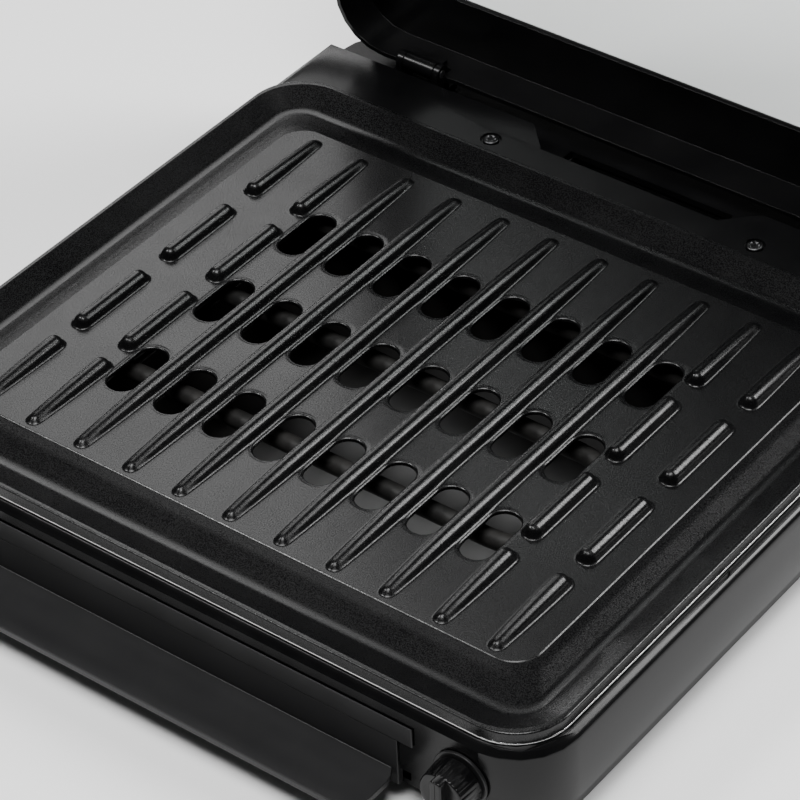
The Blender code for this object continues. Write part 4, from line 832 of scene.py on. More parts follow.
    def slot_offset(self, x: np.ndarray, y: np.ndarray) -> np.ndarray:
        """Measure how far each point lies outside the nearest slot's outline.

        That is its distance from the slot's middle segment, less the slot's half width.

        Args:
            x: The points' x.
            y: The points' y.

        Returns:
            The distances, which are negative inside a slot.
        """
        reach = (self.slot_length - self.slot_width) / 2
        half = self.slot_columns // 2
        near_x = (np.clip(np.round(x / self.pitch - 0.5), -half, half - 1) + 0.5) * self.pitch
        near_y = np.clip(np.round(y / self.row_pitch), -1, 1) * self.row_pitch
        beyond = np.maximum(np.abs(y - near_y) - reach, 0.0)
        return np.hypot(x - near_x, beyond) - self.slot_width / 2

    def section(self, share: np.ndarray, tall: np.ndarray) -> np.ndarray:
        """Shape a rib's section: an arc at the crown, a straight flank and an arc at the foot.

        With arcs of radius c and f that add up to the half width, a flank at the angle a makes the rib
        1 - cos a plus (1 - sin a) tan a tall, so the angle is looked up from the height. The crown falls by c
        less the root of c squared less the share squared, and the foot rises alike from its own end.

        Args:
            share: The distance from the middle line, 0 at the crown and 1 at the foot.
            tall: The rib's height over its half width.

        Returns:
            The height over the half width.
        """
        crown, foot = self.crown_share, 1.0 - self.crown_share
        angles = np.radians(np.linspace(*self.flank_angles))
        angle = np.interp(tall, 1.0 - np.cos(angles) + (1.0 - np.sin(angles)) * np.tan(angles), angles)
        top = tall - crown + np.sqrt(np.maximum(crown ** 2 - share ** 2, 0.0))
        low = foot - np.sqrt(np.maximum(foot ** 2 - (1.0 - share) ** 2, 0.0))
        crown_end, foot_start = crown * np.sin(angle), 1.0 - foot * np.sin(angle)
        flank = tall - crown * (1.0 - np.cos(angle)) - (share - crown_end) * np.tan(angle)
        return np.where(share < crown_end, top, np.where(share > foot_start, low, flank))

    def height(self, x: np.ndarray, y: np.ndarray) -> np.ndarray:
        """Shape the top surface.

        A rib's height depends on the distance from its middle line over its half width. Both height and half
        width swell from each end of the plate. Where ribs meet, the higher one counts. Each slot lies in a
        shallow recess, whose depth grows with the nearness s as 3 s squared less 2 s cubed.

        Args:
            x: The points' x.
            y: The points' y.

        Returns:
            The heights over the floor.
        """
        swell = self.swell(y)
        tall = self.rib_height * (self.tip_height + (1.0 - self.tip_height) * swell)
        half = self.rib_half * (self.tip_width + (1.0 - self.tip_width) * swell)
        total = np.zeros_like(x)
        for centre, start, end in self.ribs():
            beyond = np.maximum(np.maximum(start + half - y, y - (end - half)), 0.0)
            share = np.clip(np.hypot(x - centre, beyond) / half, 0.0, 1.0)
            total = np.maximum(total, half * self.section(share, tall / half))
        near = np.clip((self.recess_reach - self.slot_offset(x, y)) / self.recess_ramp, 0.0, 1.0)
        return total - self.recess_depth * near * near * (3.0 - 2.0 * near)

    def swell(self, y: np.ndarray) -> np.ndarray:
        """Return the swelling 2 s less s squared, where s is 0 at the full ribs' ends and 1 past the ramp."""
        inset = np.clip(np.minimum(y + self.rib_front, self.rib_rear - y) / self.rib_ramp, 0.0, 1.0)
        return inset * (2.0 - inset)

    def follow(self, x: np.ndarray, y: np.ndarray) -> np.ndarray:
        """Draw the straight x lines in towards the ribs where these narrow.

        Within a rib's full foot a line keeps its share of the rib's width at that y, and from there to the
        middle between two ribs the move fades out. Beside the slots the lines stay straight.

        Args:
            x: The straight lines' x.
            y: The points' y.

        Returns:
            The x that the points take.
        """
        beside = self.row_pitch + self.patch_half_y
        taper = self.tip_width + (1.0 - self.tip_width) * self.swell(y)
        full = self.tip_width + (1.0 - self.tip_width) * self.swell(np.full_like(y, beside) * np.sign(y))
        scale = np.where(np.abs(y) > beside, taper / full, 1.0)
        centre = np.clip(np.round(x / self.pitch), -self.last_rib, self.last_rib) * self.pitch
        away = np.abs(x - centre)
        foot, middle = self.rib_half + self.foot_margin, self.pitch / 2
        fade = foot * scale + (away - foot) / (middle - foot) * (middle - foot * scale)
        moved = np.where(away <= foot, away * scale, np.where(away < middle, fade, away))
        return centre + np.sign(x - centre) * moved

    def lines(self) -> tuple[np.ndarray, np.ndarray]:
        """Space the grid's lines close together where the surface turns, and keep each slot patch's edges.

        Returns:
            The x lines and the y lines.
        """
        half_x = self.floor_half_x - self.edge_inset
        front, rear = -self.floor_front + self.edge_inset, self.floor_rear - self.edge_inset
        across, beside, tip, along = (np.array(lines) * MM for lines in (
            self.rib_lines, self.middle_lines, self.tip_lines, self.slot_lines))
        xs = [half_x - np.array(self.side_lines) * MM, [(self.last_rib - 0.5) * self.pitch]]
        xs += [column * self.pitch + across for column in range(self.last_rib + 1)]
        xs += [column * self.pitch - across for column in range(1, self.last_rib + 1)]
        xs += [(column + 0.5) * self.pitch + beside for column in range(self.slot_columns // 2)]
        x = np.concatenate([np.ravel(part) for part in xs])
        ys = [[front, (front - self.rib_front) / 2], -self.rib_front + tip, self.rib_rear - tip,
              rear - np.array(self.rear_lines) * MM, front + np.array(self.front_lines) * MM,
              np.array(self.ramp_lines) * MM, np.arange(*self.even_lines) * MM]
        ys += [place + tip * (1 if k % 2 else -1) for k, place in enumerate(self.breaks)]
        for middle in (-self.row_pitch, 0.0, self.row_pitch):
            ys += [middle + along, middle - along, [middle - self.patch_half_y, middle + self.patch_half_y]]
        y = np.concatenate([np.ravel(part) for part in ys])
        centres = np.array(self.slots())
        patch_x = [centre + end * self.patch_half_x for centre in np.unique(centres[:, 0]) for end in (-1, 1)]
        patch_y = [centre + end * self.patch_half_y for centre in np.unique(centres[:, 1]) for end in (-1, 1)]
        return (self.thin(np.concatenate([x, -x]), [*patch_x, half_x, -half_x]),
                self.thin(y, [*patch_y, front, rear]))

    def thin(self, values: np.ndarray, needed: Sequence[float]) -> np.ndarray:
        """Leave out lines that lie too near another.

        Args:
            values: All lines.
            needed: Lines that stay whatever lies near them.

        Returns:
            The kept lines in order.
        """
        kept = sorted(needed)
        for value in np.sort(values):
            if np.min(np.abs(np.array(kept) - value)) > self.line_gap:
                kept.append(float(value))
        return np.sort(np.array(kept))

    @staticmethod
    def stretch(value: np.ndarray, source: Span, target: Span, radii: Span) -> tuple[np.ndarray, np.ndarray]:
        """Split one coordinate into its place on the straight middle and its share of the corner beyond.

        Args:
            value: The points' x or y in the source.
            source: The source's lowest and highest value.
            target: The target's.
            radii: The corner radius of the source and of the target.

        Returns:
            The place on the target's middle, and how far into the corner the point lies, -1 to 1.
        """
        low, high = source[0] + radii[0], source[1] - radii[0]
        low_to, high_to = target[0] + radii[1], target[1] - radii[1]
        core = low_to + (np.clip(value, low, high) - low) / (high - low) * (high_to - low_to)
        return core, (np.maximum(value - high, 0.0) - np.maximum(low - value, 0.0)) / radii[0]

    def ring_places(self, x: np.ndarray, y: np.ndarray, source: Ring,
                    target: Ring) -> tuple[np.ndarray, np.ndarray]:
        """Stretch points of one rounded rectangle onto another.

        The straight middle is scaled, and each square corner is mapped to a quarter disc: a point keeps its
        direction from the corner's centre and moves in until its larger share becomes its distance.

        Args:
            x: The points' x in the source.
            y: The points' y in the source.
            source: Half width, front, rear and corner radius of the source.
            target: The same of the target.

        Returns:
            The x and y in the target.
        """
        radii = (source[3], target[3])
        core_x, over_x = self.stretch(x, (-source[0], source[0]), (-target[0], target[0]), radii)
        core_y, over_y = self.stretch(y, (-source[1], source[2]), (-target[1], target[2]), radii)
        length = np.hypot(over_x, over_y)
        larger = np.maximum(np.abs(over_x), np.abs(over_y))
        scale = np.where(length > TINY, larger / np.maximum(length, TINY), 1.0) * radii[1]
        return core_x + over_x * scale, core_y + over_y * scale

    def rim_profile(self) -> np.ndarray:
        """Draw the rim's section from the floor's edge, over the gutter and crest, and back under the sheet.

        Returns:
            Rows of distance out from the floor's edge, measured on the plate's right side, and height.
        """
        gutter, crest, outer = (ring[0] - self.rings[0][0] for ring in self.rings[1:])
        low, top, skirt = (level * MM for level in (self.gutter_level, self.crest_level, self.skirt_level))
        sheet, inner = self.sheet, outer - self.sheet
        points = [(-self.edge_inset, 0.0), *((out * MM, rise * MM) for out, rise in self.shoulder),
                  (gutter, low), (crest + self.crest_start * MM, top), (outer, top), (outer, skirt),
                  (inner, skirt), (inner, top - sheet), (gutter, low - sheet), (0.0, -sheet),
                  (-self.edge_inset, -sheet)]
        return fillet_line(points, [radius * MM for radius in self.rim_radii], self.rim_steps)

    def build(self) -> bpy.types.Object:
        """Build the plate's one closed surface.

        Returns:
            The piece.
        """
        skin = Skin()
        floor_ring = (self.floor_half_x - self.edge_inset, self.floor_front - self.edge_inset,
                      self.floor_rear - self.edge_inset, self.rings[0][3] - self.edge_inset)
        line_x, line_y = self.lines()
        flat_x, flat_y = np.meshgrid(line_x, line_y)
        grid_x, grid_y = self.ring_places(self.follow(flat_x, flat_y), flat_y, floor_ring, floor_ring)
        cell_x = (flat_x[:-1, :-1] + flat_x[1:, 1:]) / 2
        cell_y = (flat_y[:-1, :-1] + flat_y[1:, 1:]) / 2
        keep = np.ones(cell_x.shape, bool)
        for centre_x, centre_y in self.slots():
            beside = np.abs(cell_x - centre_x) < self.patch_half_x
            keep &= ~(beside & (np.abs(cell_y - centre_y) < self.patch_half_y))
        top = np.stack([grid_x, grid_y, self.height(grid_x, grid_y)], -1)
        under = np.stack([grid_x, grid_y, np.full_like(grid_x, -self.sheet)], -1)
        skin.grid(top, keep=keep)
        skin.grid(under, keep=keep, flip=True)
        self.add_slots(skin, line_x, line_y)
        self.add_rim(skin, line_x, line_y, floor_ring)
        skin.points = [points + self.origin for points in skin.points]
        item = skin.build("grill_plate_dressed", COATING, merge=2e-6, sharp=60.0)
        self.join_flats(item.data)
        level = item.modifiers.new("level_floor", "WEIGHTED_NORMAL")
        level.mode = "FACE_AREA"
        level.weight = self.normal_weight
        level.keep_sharp = True
        return settle(item, Body.PLATE, COATING, "grill_plate")

    def join_flats(self, mesh: bpy.types.Mesh) -> None:
        """Join faces that lie in one plane, on the underside and on the rim's straight stretches.

        The underside stays cut along the ribs' middle lines, which keeps the joined faces small.

        Args:
            mesh: The plate's mesh.
        """
        points = np.empty(len(mesh.vertices) * 3)
        mesh.vertices.foreach_get("co", points)
        x, y, z = (points.reshape(-1, 3) - self.origin).T
        ends = np.empty(len(mesh.edges) * 2, int)
        mesh.edges.foreach_get("vertices", ends)
        ends = ends.reshape(-1, 2)
        half_x, front, rear = (size - self.rim_margin for size in self.rings[0][:3])
        plain = (z < self.tolerance - self.sheet) | (np.abs(x) > half_x) | (y < -front) | (y > rear)
        seam = np.abs(x - np.round(x / self.pitch) * self.pitch) < self.tolerance
        joined = plain[ends].all(1) & ~seam[ends].all(1)
        bm = bmesh.new()
        bm.from_mesh(mesh)
        bm.verts.ensure_lookup_table()
        bm.edges.ensure_lookup_table()
        bmesh.ops.dissolve_limit(bm, angle_limit=math.radians(self.flat_angle),
                                 verts=[bm.verts[k] for k in np.flatnonzero(plain)],
                                 edges=[bm.edges[k] for k in np.flatnonzero(joined)])
        bm.to_mesh(mesh)
        bm.free()

    def build_edge(self) -> bpy.types.Object:
        """Build the rim's bare cut edge, a bead all round it.

        The bead's section is a circle. Each of its rows is the rim's rounded outline, drawn out by the radius
        times the row angle's cosine and raised by the radius times its sine.

        Returns:
            The piece.
        """
        half_x, front, rear, corner = self.rings[-1]
        rows = []
        for angle in np.linspace(0.0, 2 * math.pi, self.bead_sides + 1):
            out = self.bead_out + self.bead_radius * (math.cos(angle) - 1.0)
            loop = rounded_loop(-half_x - out, half_x + out, -front - out, rear + out, corner + out)
            rise = self.bead_rise + self.bead_radius * math.sin(angle)
            rows.append(np.column_stack([loop, np.full(len(loop), rise)]) + self.origin)
        skin = Skin()
        skin.grid(np.array(rows), wrap=True)
        return settle(skin.build("plate_cut_edge", BARE_EDGE, merge=1e-5), Body.PLATE, BARE_EDGE)

    @staticmethod
    def border(x: np.ndarray, y: np.ndarray) -> tuple[np.ndarray, np.ndarray]:
        """Walk once round a grid of lines, anticlockwise from the lowest x and y.

        Args:
            x: The grid's x lines.
            y: Its y lines.

        Returns:
            The x and the y of the border's points.
        """
        columns, rows = len(x) - 1, len(y) - 1
        return (np.concatenate([x[:-1], np.full(rows, x[-1]), x[:0:-1], np.full(rows, x[0])]),
                np.concatenate([np.full(columns, y[0]), y[:-1], np.full(columns, y[-1]), y[:0:-1]]))

    def add_slots(self, skin: Skin, line_x: np.ndarray, line_y: np.ndarray) -> None:
        """Fill each slot's patch with rings that run from its edge, over a rolled lip, to the underside.

        A ring is the patch's edge drawn towards the slot's outline, which lies half a slot's width from the
        slot's middle segment.

        Args:
            skin: What the rings are added to.
            line_x: The grid's x lines.
            line_y: Its y lines.
        """
        reach, radius = (self.slot_length - self.slot_width) / 2, self.slot_width / 2
        shares = np.array(self.patch_shares)[:, None]
        lip = [(radius + self.roll * share, -self.recess_depth - self.roll * drop)
               for share, drop in zip(self.lip_shares, self.lip_drop_shares)]
        for centre_x, centre_y in self.slots():
            edge_x, edge_y = self.border(line_x[np.abs(line_x - centre_x) < self.patch_half_x + TINY],
                                         line_y[np.abs(line_y - centre_y) < self.patch_half_y + TINY])
            core_y = centre_y + np.clip(edge_y - centre_y, -reach, reach)
            away = np.stack([edge_x - centre_x, edge_y - core_y], -1)
            gap = np.linalg.norm(away, axis=1)
            unit = away / gap[:, None]
            spread = radius + self.roll + (gap - radius - self.roll)[None] * shares
            core = np.stack([np.full_like(core_y, centre_x), core_y], -1)
            flat = core[None] + unit[None] * spread[..., None]
            rings = [*np.concatenate([flat, self.height(flat[..., 0], flat[..., 1])[..., None]], -1)]
            rings += [np.column_stack([core + unit * out, np.full(len(core), rise)])
                      for out, rise in [*lip, (radius, -self.sheet)]]
            rings.append(np.stack([edge_x, edge_y, np.full_like(edge_x, -self.sheet)], -1))
            skin.grid(np.array(rings), wrap=True)

    def add_rim(self, skin: Skin, line_x: np.ndarray, line_y: np.ndarray, floor_ring: Ring) -> None:
        """Carry the rim's section round the floor. Each of its points takes the ring its distance falls on.

        Args:
            skin: What the rim is added to.
            line_x: The grid's x lines.
            line_y: Its y lines.
            floor_ring: The floor's own ring, where the rim starts.
        """
        edge_x, edge_y = self.border(line_x, line_y)
        edge_x = self.follow(edge_x, edge_y)
        steps = np.array([-self.edge_inset] + [ring[0] - self.rings[0][0] for ring in self.rings])
        sizes = np.array([floor_ring, *self.rings])
        rows = []
        for distance, height in self.rim_profile():
            target = tuple(float(np.interp(distance, steps, sizes[:, k])) for k in range(4))
            x, y = self.ring_places(edge_x, edge_y, floor_ring, target)
            rows.append(np.stack([x, y, np.full_like(x, height)], -1))
        skin.grid(np.array(rows), wrap=True)


# Heater, knob, screws and feet


@dataclass(frozen=True)
class Heater:
    """The bent tube heater: runs across the hopper, half-circle bends and two tails to the terminals."""

    radius: float = 0.0040
    left: float = 0.1250
    right: float = 0.1100
    entry: float = 0.1250
    leave: float = 0.1420
    pitch: float = 0.0612
    runs: int = 4
    sides: int = 18
    bend_steps: int = 9

    def path(self) -> np.ndarray:
        """Draw the tube's middle line, whose corners are arcs of half the pitch.

        Returns:
            The line's points.
        """
        low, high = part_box("heater_tube")
        level = (low.z + high.z) / 2
        rows = [low.y + self.radius + k * self.pitch for k in range(self.runs)][::-1]
        points = [(self.entry, high.y)]
        ends = (self.entry, -self.left, self.right, -self.left, self.leave)
        for row, start, end in zip(rows, ends, ends[1:]):
            points += [(start, row), (end, row)]
        points.append((self.leave, high.y))
        line = [(x, y, level) for x, y in points]
        return fillet_line(line, [self.pitch / 2] * (len(line) - 2), self.bend_steps)

    def build(self) -> bpy.types.Object:
        """Carry the tube's circle along its middle line.

        Returns:
            The piece.
        """
        skin = Skin()
        skin.loft(tube_skin(self.path(), self.radius, self.sides))
        return settle(skin.build("heater_tube_dressed", SHEATH), Body.BASE, SHEATH, "heater_tube")


@dataclass(frozen=True)
class Knob:
    """The control knob: a barrel with fine flutes, a dished face and a raised grip. Lengths are in metres."""

    flutes: int = 30
    flute_steps: int = 6
    flute_depth: float = 0.00030
    draft: float = 0.0008
    dish_share: float = 0.75
    dish_depth: float = 0.0004
    rounds: tuple[float, ...] = (0.0006, 0.0014, 0.0040)
    plain_back: float = 0.0010
    plain_face: float = 0.0006
    least_share: float = 0.85
    grip_rise: float = 0.0035
    grip_sink: float = 0.0010
    grip_half_width: float = 0.0025
    grip_reach: float = 0.92
    grip_inset: float = 0.0012
    grip_round: float = 0.0009
    grip_corner: float = 0.0014
    arc_steps: int = 5

    def barrel(self, radius: float, face: float) -> np.ndarray:
        """Return the barrel as rings about the y axis, on the side of negative y.

        The radius at the height h and the angle a is the profile's, less, over the straight part, the flute's
        depth times the square of (1 + cos na) / 2, where n counts the flutes.

        Args:
            radius: The radius at the back.
            face: The height of the face.

        Returns:
            Rings by steps by three.
        """
        corners = [(0.0, 0.0), (radius, 0.0), (radius - self.draft, face), (radius * self.dish_share, face),
                   (0.0, face - self.dish_depth)]
        profile = fillet_line(corners, self.rounds, self.arc_steps)
        away, height = profile.T
        angle = np.linspace(0.0, 2 * math.pi, self.flutes * self.flute_steps, endpoint=False)
        straight = (height > self.plain_back) & (height < face - self.plain_face)
        straight &= away > radius * self.least_share
        cut = self.flute_depth * straight[:, None] * (0.5 + 0.5 * np.cos(self.flutes * angle))[None] ** 2
        reach = profile[:, :1] - cut
        return np.stack([reach * np.cos(angle), np.broadcast_to(-profile[:, 1:], reach.shape),
                         reach * np.sin(angle)], -1)

    def build(self) -> bpy.types.Object:
        """Build the barrel and its grip.

        Returns:
            The piece.
        """
        low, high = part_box("control_knob")
        middle = np.array([(low.x + high.x) / 2, high.y, (low.z + high.z) / 2])
        radius, face = (high.x - low.x) / 2, high.y - low.y - self.grip_rise
        skin = Skin()
        skin.loft(self.barrel(radius, face) + middle, closed=False)
        top = face + self.grip_rise
        corners = [(0.0, face - self.grip_sink), (0.0, top), (self.grip_inset, top)]
        rings = []
        for inset, height in fillet_line(corners, (self.grip_round,), self.arc_steps):
            wide, long = self.grip_half_width - inset, radius * self.grip_reach - inset
            loop = rounded_loop(-wide, wide, -long, long, self.grip_corner, self.arc_steps)
            rings.append(np.stack([loop[:, 0], np.full(len(loop), -height), loop[:, 1]], -1))
        skin.loft(np.array(rings) + middle)
        item = skin.build("control_knob_dressed", MOULDING, sharp=50.0)
        return settle(item, Body.KNOB, MOULDING, "control_knob")


@dataclass(frozen=True)
class Screw:
    """An upright pan-head screw with a cross recess. Lengths are in metres."""

    node: str
    side: Head = Head.TOP
    head: float = 0.0015
    shank: float = 0.0016
    tip_share: float = 0.6
    tip_rise: float = 0.5
    dome: float = 0.25
    rim_share: float = 0.96
    rim_drops: Span = (0.3, 0.1)
    dome_shares: tuple[float, ...] = (0.86, 0.62, 0.44, 0.40, 0.20, 0.0)
    recess: float = 0.0007
    arm: float = 0.0016
    arm_half: float = 0.00042
    steps: int = 24

    def profile(self, radius: float, length: float) -> np.ndarray:
        """Draw half the screw: a bevelled tip, the shank, the head's side and its dome.

        The dome falls by its share of the head's height times the square of the radius's share.

        Args:
            radius: The head's radius.
            length: The whole length.

        Returns:
            Rows of radius and height, from the tip to the middle of the head.
        """
        under, rim = length - self.head, length - self.head * self.dome
        shares = np.array(self.dome_shares)
        lower, upper = self.rim_drops
        side = [(0.0, 0.0), (self.shank * self.tip_share, 0.0), (self.shank, self.shank * self.tip_rise),
                (self.shank, under), (radius, under), (radius, rim - self.head * lower),
                (radius * self.rim_share, rim - self.head * upper)]
        return np.array([*side, *zip(shares * radius, length - self.head * self.dome * shares * shares)])

    def build(self) -> bpy.types.Object:
        """Turn the profile and cut the cross: points on the head near either arm's middle line move inwards.

        Returns:
            The piece.
        """
        low, high = (np.array(corner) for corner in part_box(self.node))
        length = float(high[2] - low[2])
        away, height = np.hsplit(self.profile(float(high[0] - low[0]) / 2, length), 2)
        angle = np.linspace(0.0, 2 * math.pi, self.steps, endpoint=False)
        x, y = away * np.cos(angle), away * np.sin(angle)
        near_arm = np.minimum(np.abs(x), np.abs(y)) < self.arm_half
        cross = (height > length - self.head / 2) & (np.hypot(x, y) < self.arm) & near_arm
        end = high[2] if self.side is Head.TOP else low[2]
        middle = (low + high) / 2
        z = end + self.side.value * (height - self.recess * cross - length)
        skin = Skin()
        skin.loft(np.stack([middle[0] + x, middle[1] + y, z], -1), closed=False)
        item = skin.build(self.node + "_dressed", BLACK_STEEL, sharp=35.0)
        return settle(item, Body.BASE, BLACK_STEEL, self.node)


@dataclass(frozen=True)
class Foot:
    """A round rubber foot with a soft rim and a shallow hollow in its sole. Lengths are in metres."""

    node: str
    hollow: float = 0.0006
    hollow_shares: Span = (0.55, 0.62)
    rim: float = 0.0010
    rim_rise: float = 0.0012
    rounds: tuple[float, ...] = (0.0005, 0.0005, 0.0008, 0.0006, 0.0004)
    arc_steps: int = 3
    steps: int = 32

    def build(self) -> bpy.types.Object:
        """Turn the foot's profile round its upright axis.

        Returns:
            The piece.
        """
        low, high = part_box(self.node)
        radius, tall = (high.x - low.x) / 2, high.z - low.z
        sole = radius - self.rim
        inner, outer = (sole * share for share in self.hollow_shares)
        corners = [(0.0, self.hollow), (inner, self.hollow), (outer, 0.0), (sole, 0.0),
                   (radius, self.rim_rise), (radius, tall), (0.0, tall)]
        centre = ((low.x + high.x) / 2, (low.y + high.y) / 2, low.z)
        skin = Skin()
        profile = fillet_line(corners, self.rounds, self.arc_steps)
        skin.loft(turned(profile, centre, self.steps), closed=False)
        return settle(skin.build(self.node + "_dressed", RUBBER), Body.BASE, RUBBER, self.node)


# Rigid pieces that keep their solid's shape, with rounded edges

RIM_CORNER = 26.0 * MM
RIM_LEVEL = 47.5 * MM
# Distance inside the outline, and how far the rim sinks there, in millimetres
SIDE_RIM = ((0.0, 0.5, 2.0, 4.6), (1.35, 1.45, 0.60, 0.0))
FRONT_RIM = ((0.0, 0.5, 2.0, 2.8), (1.65, 2.23, 0.54, 0.0))


def lean_rim(points: np.ndarray) -> np.ndarray:
    """Lean the housing's top rim outwards.

    Each point above the rim's rounding sinks by an amount that depends on how far it lies inside the
    housing's rounded outline: most near the rounding, and nothing at the rim's inner edge. The front has a
    narrower rim with its own amounts, and the two blend round the corners.

    Args:
        points: The housing's points.

    Returns:
        The moved points.
    """
    low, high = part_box("housing_shell")
    out_x = np.abs(points[:, 0]) - ((high.x - low.x) / 2 - RIM_CORNER)
    out_y = (low.y + RIM_CORNER) - points[:, 1]
    corner = np.hypot(np.maximum(out_x, 0.0), np.maximum(out_y, 0.0))
    inset = RIM_CORNER - np.where(out_y > 0.0, corner, out_x)
    side = np.clip(out_x / RIM_CORNER, 0.0, 1.0)
    wide, narrow = (np.interp(inset, np.array(insets) * MM, np.array(sinks) * MM)
                    for insets, sinks in (SIDE_RIM, FRONT_RIM))
    moved = points.copy()
    moved[:, 2] -= np.where(points[:, 2] > RIM_LEVEL, side * wide + (1.0 - side) * narrow, 0.0)
    return moved


@dataclass(frozen=True)
class Cast:
    """A solid that is shown with its own shape, its loose triangles joined and its edges rounded."""

    node: str
    body: Body
    finish: AnyFinish
    edge: float = 0.0005
    segments: int = 2
    shape: Callable[[np.ndarray], np.ndarray] | None = None
    merge: float = 2e-6
    flat: float = 0.6
    sharp: float = 32.0

    def build(self) -> bpy.types.Object:
        """Copy the solid, join its triangles into plain faces and round its edges.

        Returns:
            The piece.
        """
        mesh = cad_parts[self.node].data.copy()
        mesh.name = self.node + "_dressed"
        for name in [layer.name for layer in mesh.attributes if layer.name.startswith("custom")]:
            mesh.attributes.remove(mesh.attributes[name])
        if self.shape:
            points = np.empty(len(mesh.vertices) * 3)
            mesh.vertices.foreach_get("co", points)
            mesh.vertices.foreach_set("co", self.shape(points.reshape(-1, 3)).ravel())
        bm = bmesh.new()
        bm.from_mesh(mesh)
        bmesh.ops.remove_doubles(bm, verts=bm.verts, dist=self.merge)
        bmesh.ops.dissolve_limit(bm, angle_limit=math.radians(self.flat), verts=bm.verts, edges=bm.edges)
        bm.to_mesh(mesh)
        bm.free()
        mesh.materials.clear()
        mesh.materials.append(look(self.finish))
        mesh.shade_smooth()
        mesh.set_sharp_from_angle(angle=math.radians(self.sharp))
        item = bpy.data.objects.new(self.node + "_dressed", mesh)
        bpy.context.scene.collection.objects.link(item)
        if self.edge > 0.0:
            rounding = item.modifiers.new("rounded_edges", "BEVEL")
            rounding.width = self.edge
            rounding.segments = self.segments
            rounding.limit_method = "ANGLE"
            rounding.angle_limit = math.radians(self.sharp)
            rounding.use_clamp_overlap = True
            rounding.harden_normals = True
        return settle(item, self.body, self.finish, self.node)


# Floor, lights and camera


@dataclass(frozen=True)
class Panel:
    """A soft four-sided light that faces the plate. Angles are in degrees, and the power is in watts."""

    name: str
    azimuth: float
    elevation: float
    distance: float
    size: tuple[float, float]
    power: float
    roll: float = 0.0

    def build(self, centre: Vector) -> None:
        """Hang the light. An azimuth of 0 is behind the grill, and it grows to the right.

        Args:
            centre: The point that it faces.
        """
        lamp = bpy.data.lights.new(self.name, "AREA")
        lamp.shape = "RECTANGLE"
        lamp.size, lamp.size_y = self.size
        lamp.energy = self.power
        item = bpy.data.objects.new(self.name, lamp)
        turn, rise = math.radians(self.azimuth), math.radians(self.elevation)
        out = Vector((math.sin(turn) * math.cos(rise), math.cos(turn) * math.cos(rise), math.sin(rise)))
        item.location = centre + out * self.distance
        item.rotation_mode = "QUATERNION"
        item.rotation_quaternion = Quaternion(out, math.radians(self.roll)) @ out.to_track_quat("Z", "Y")
        bpy.context.scene.collection.objects.link(item)


@dataclass
class Studio:
    """The pale floor, the soft lights and the camera of the photograph.

    Angles are in degrees, lens and sensor in millimetres, and the camera's place in rib pitches from the
    plate's origin.
    """

    azimuth: float = 38.57
    elevation: float = 39.2
    roll: float = -2.34
    lens: float = 162.6
    sensor: float = 36.0
    camera_place: tuple[float, float, float] = (28.02, -35.01, 36.08)
    clip: Span = (0.05, 50.0)
    floor_size: float = 8.0
    floor_lines: int = 5
    sky_seen: float = 0.9
    sky_light: float = 0.04
    panels: tuple[Panel, ...] = (
        Panel("left_rear_panel", -48.0, 37.0, 2.0, (0.66, 1.00), 9.4, 30.0),
        Panel("rear_panel", 37.0, 41.0, 2.0, (1.20, 0.50), 45.0, 43.0),
        Panel("front_left_panel", -127.0, 52.0, 2.0, (0.42, 0.42), 18.0),
        Panel("low_left_panel", -56.0, 6.0, 2.0, (0.50, 0.20), 1.8),
        Panel("overhead_panel", 150.0, 74.0, 2.0, (1.00, 1.00), 48.0),
    )

    def build(self, plate: GrillPlate) -> None:
        """Build the floor, the lights and the camera.

        Args:
            plate: The plate, whose middle the camera is measured from.
        """
        self.build_floor()
        self.build_world()
        for panel in self.panels:
            panel.build(Vector(plate.origin))
        self.build_camera(plate)

    def build_floor(self) -> None:
        """Build the floor: a wide level sheet."""
        side = np.linspace(-self.floor_size / 2, self.floor_size / 2, self.floor_lines)
        x, y = np.meshgrid(side, side)
        skin = Skin()
        skin.grid(np.stack([x, y, np.zeros_like(x)], -1))
        item = skin.build("floor", FLOOR, outward=False)

    def build_world(self) -> None:
        """Give the room an even light that is faint on things and bright where the camera sees it."""
        graph = Graph(bpy.data.worlds.new("room"))
        seen = graph.out(graph.node("ShaderNodeLightPath"), "Is Camera Ray")
        strength = self.sky_light + (self.sky_seen - self.sky_light) * seen
        back = graph.node("ShaderNodeBackground", None, {"Color": (1.0, 1.0, 1.0, 1.0), "Strength": strength})
        graph.node("ShaderNodeOutputWorld", None, {"Surface": graph.out(back)})
        bpy.context.scene.world = graph.owner

    def build_camera(self, plate: GrillPlate) -> None:
        """Set the camera where the photograph's slots and ribs put it.

        Args:
            plate: The plate, which its place is measured from.
        """
        data = bpy.data.cameras.new("camera")
        data.lens = self.lens
        data.sensor_width = self.sensor
        data.clip_start, data.clip_end = self.clip
        item = bpy.data.objects.new("camera", data)
        turn, rise, roll = (math.radians(v) for v in (self.azimuth, self.elevation, self.roll))
        back = Vector((math.sin(turn) * math.cos(rise), -math.cos(turn) * math.cos(rise), math.sin(rise)))
        right = (-back).cross(Vector((0.0, 0.0, 1.0))).normalized()
        up = right.cross(-back)
        tilted_right = right * math.cos(roll) + up * math.sin(roll)
        tilted_up = up * math.cos(roll) - right * math.sin(roll)
        item.location = Vector(plate.origin) + Vector(self.camera_place) * plate.pitch
        item.rotation_mode = "QUATERNION"
        item.rotation_quaternion = Matrix((tilted_right, tilted_up, back)).transposed().to_quaternion()
        bpy.context.scene.collection.objects.link(item)
        bpy.context.scene.camera = item


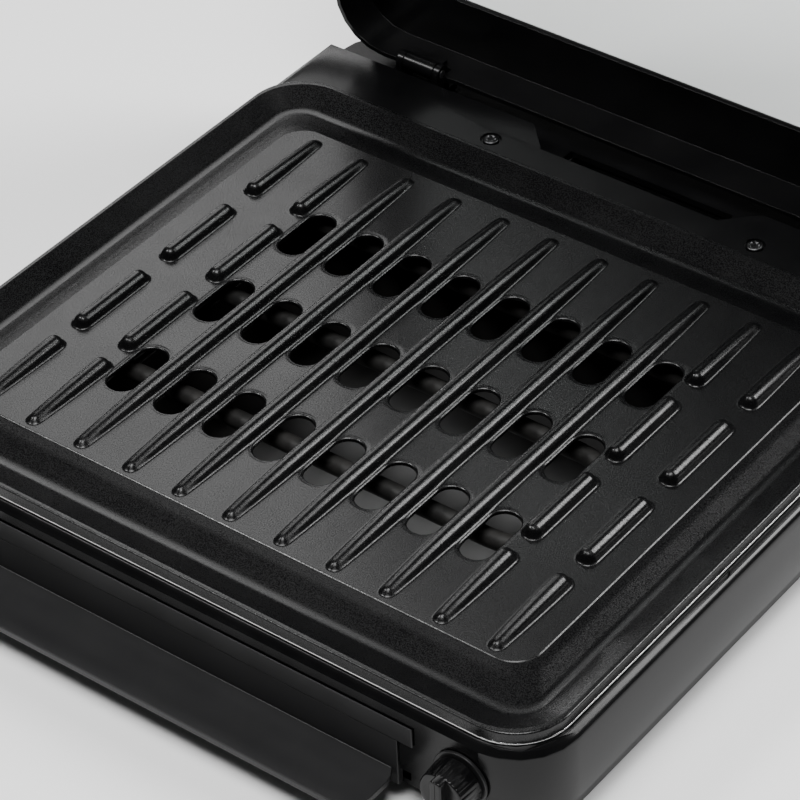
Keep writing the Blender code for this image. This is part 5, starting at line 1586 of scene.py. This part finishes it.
def main() -> None:
    """Build every sub-assembly, then the studio."""
    logging.basicConfig(level=logging.INFO, format="%(message)s")
    plate = GrillPlate()
    plate.build()
    plate.build_edge()
    for piece in (Heater(), Knob(), *SCREWS, *FEET, *CASTS):
        piece.build()
    Studio().build(plate)


def pair(stem: str, body: Body, finish: AnyFinish, edge: float) -> tuple[Cast, Cast]:
    """Return the left and the right one of a piece."""
    return Cast(stem + "_left", body, finish, edge), Cast(stem + "_right", body, finish, edge)


CORNERS = ("front_left", "front_right", "rear_left", "rear_right")
SCREWS = (*(Screw("base_screw_" + corner, Head.UNDER) for corner in CORNERS),
          Screw("ledge_screw_left"), Screw("ledge_screw_right"))
FEET = tuple(Foot("foot_" + corner) for corner in CORNERS)

CASTS = (
    Cast("housing_shell", Body.BASE, MOULDING, 0.0006, 3, lean_rim),
    Cast("bottom_cover", Body.BASE, MOULDING, 0.0005),
    Cast("heat_liner", Body.BASE, SHADE_PAINTED_LINER, 0.0),
    *pair("heater_support", Body.BASE, STEEL, 0.0003),
    Cast("terminal_block", Body.BASE, CERAMIC, 0.0004),
    Cast("thermostat", Body.BASE, CERAMIC, 0.0004),
    Cast("drip_tray", Body.TRAY, ALUMINIUM, 0.0005),
    Cast("tray_front", Body.TRAY, MATT_MOULDING, 0.0008, 3),
    *pair("tray_rail", Body.BASE, BRIGHT_SHEET, 0.0003),
    Cast("front_trim", Body.BASE, GREY_MOULDING, 0.0003),
    Cast("knob_bezel", Body.BASE, GREY_MOULDING, 0.0004),
    Cast("thermostat_shaft", Body.KNOB, STEEL, 0.0002),
    Cast("switch_frame", Body.BASE, MOULDING, 0.0003),
    Cast("power_rocker", Body.ROCKER, MOULDING, 0.0003),
    Cast("lamp_lens", Body.BASE, LAMP_RED, 0.0003),
    Cast("fan_drum", Body.FAN, MOULDING, 0.0),
    Cast("fan_shaft", Body.FAN, STEEL, 0.0002),
    *pair("fan_cheek", Body.BASE, STEEL, 0.0003),
    Cast("fan_scroll", Body.BASE, MOULDING, 0.0),
    Cast("fan_motor", Body.BASE, MOTOR_CAN, 0.0004),
    Cast("rear_grille", Body.BASE, MOULDING, 0.0003),
    Cast("power_inlet", Body.BASE, MOULDING, 0.0003),
    *pair("hinge_bracket", Body.BASE, MOULDING, 0.0003),
    *pair("hinge_pin", Body.BASE, STEEL, 0.0002),
    Cast("lid_frame", Body.LID, MOULDING, 0.0006),
    Cast("lid_gasket", Body.LID, RUBBER, 0.0),
    Cast("lid_glass", Body.LID, GLASS, 0.0006),
    Cast("lid_handle", Body.LID, MOULDING, 0.0006),
    *pair("handle_screw", Body.LID, STEEL, 0.0003),
)

if __name__ == "__main__":
    main()
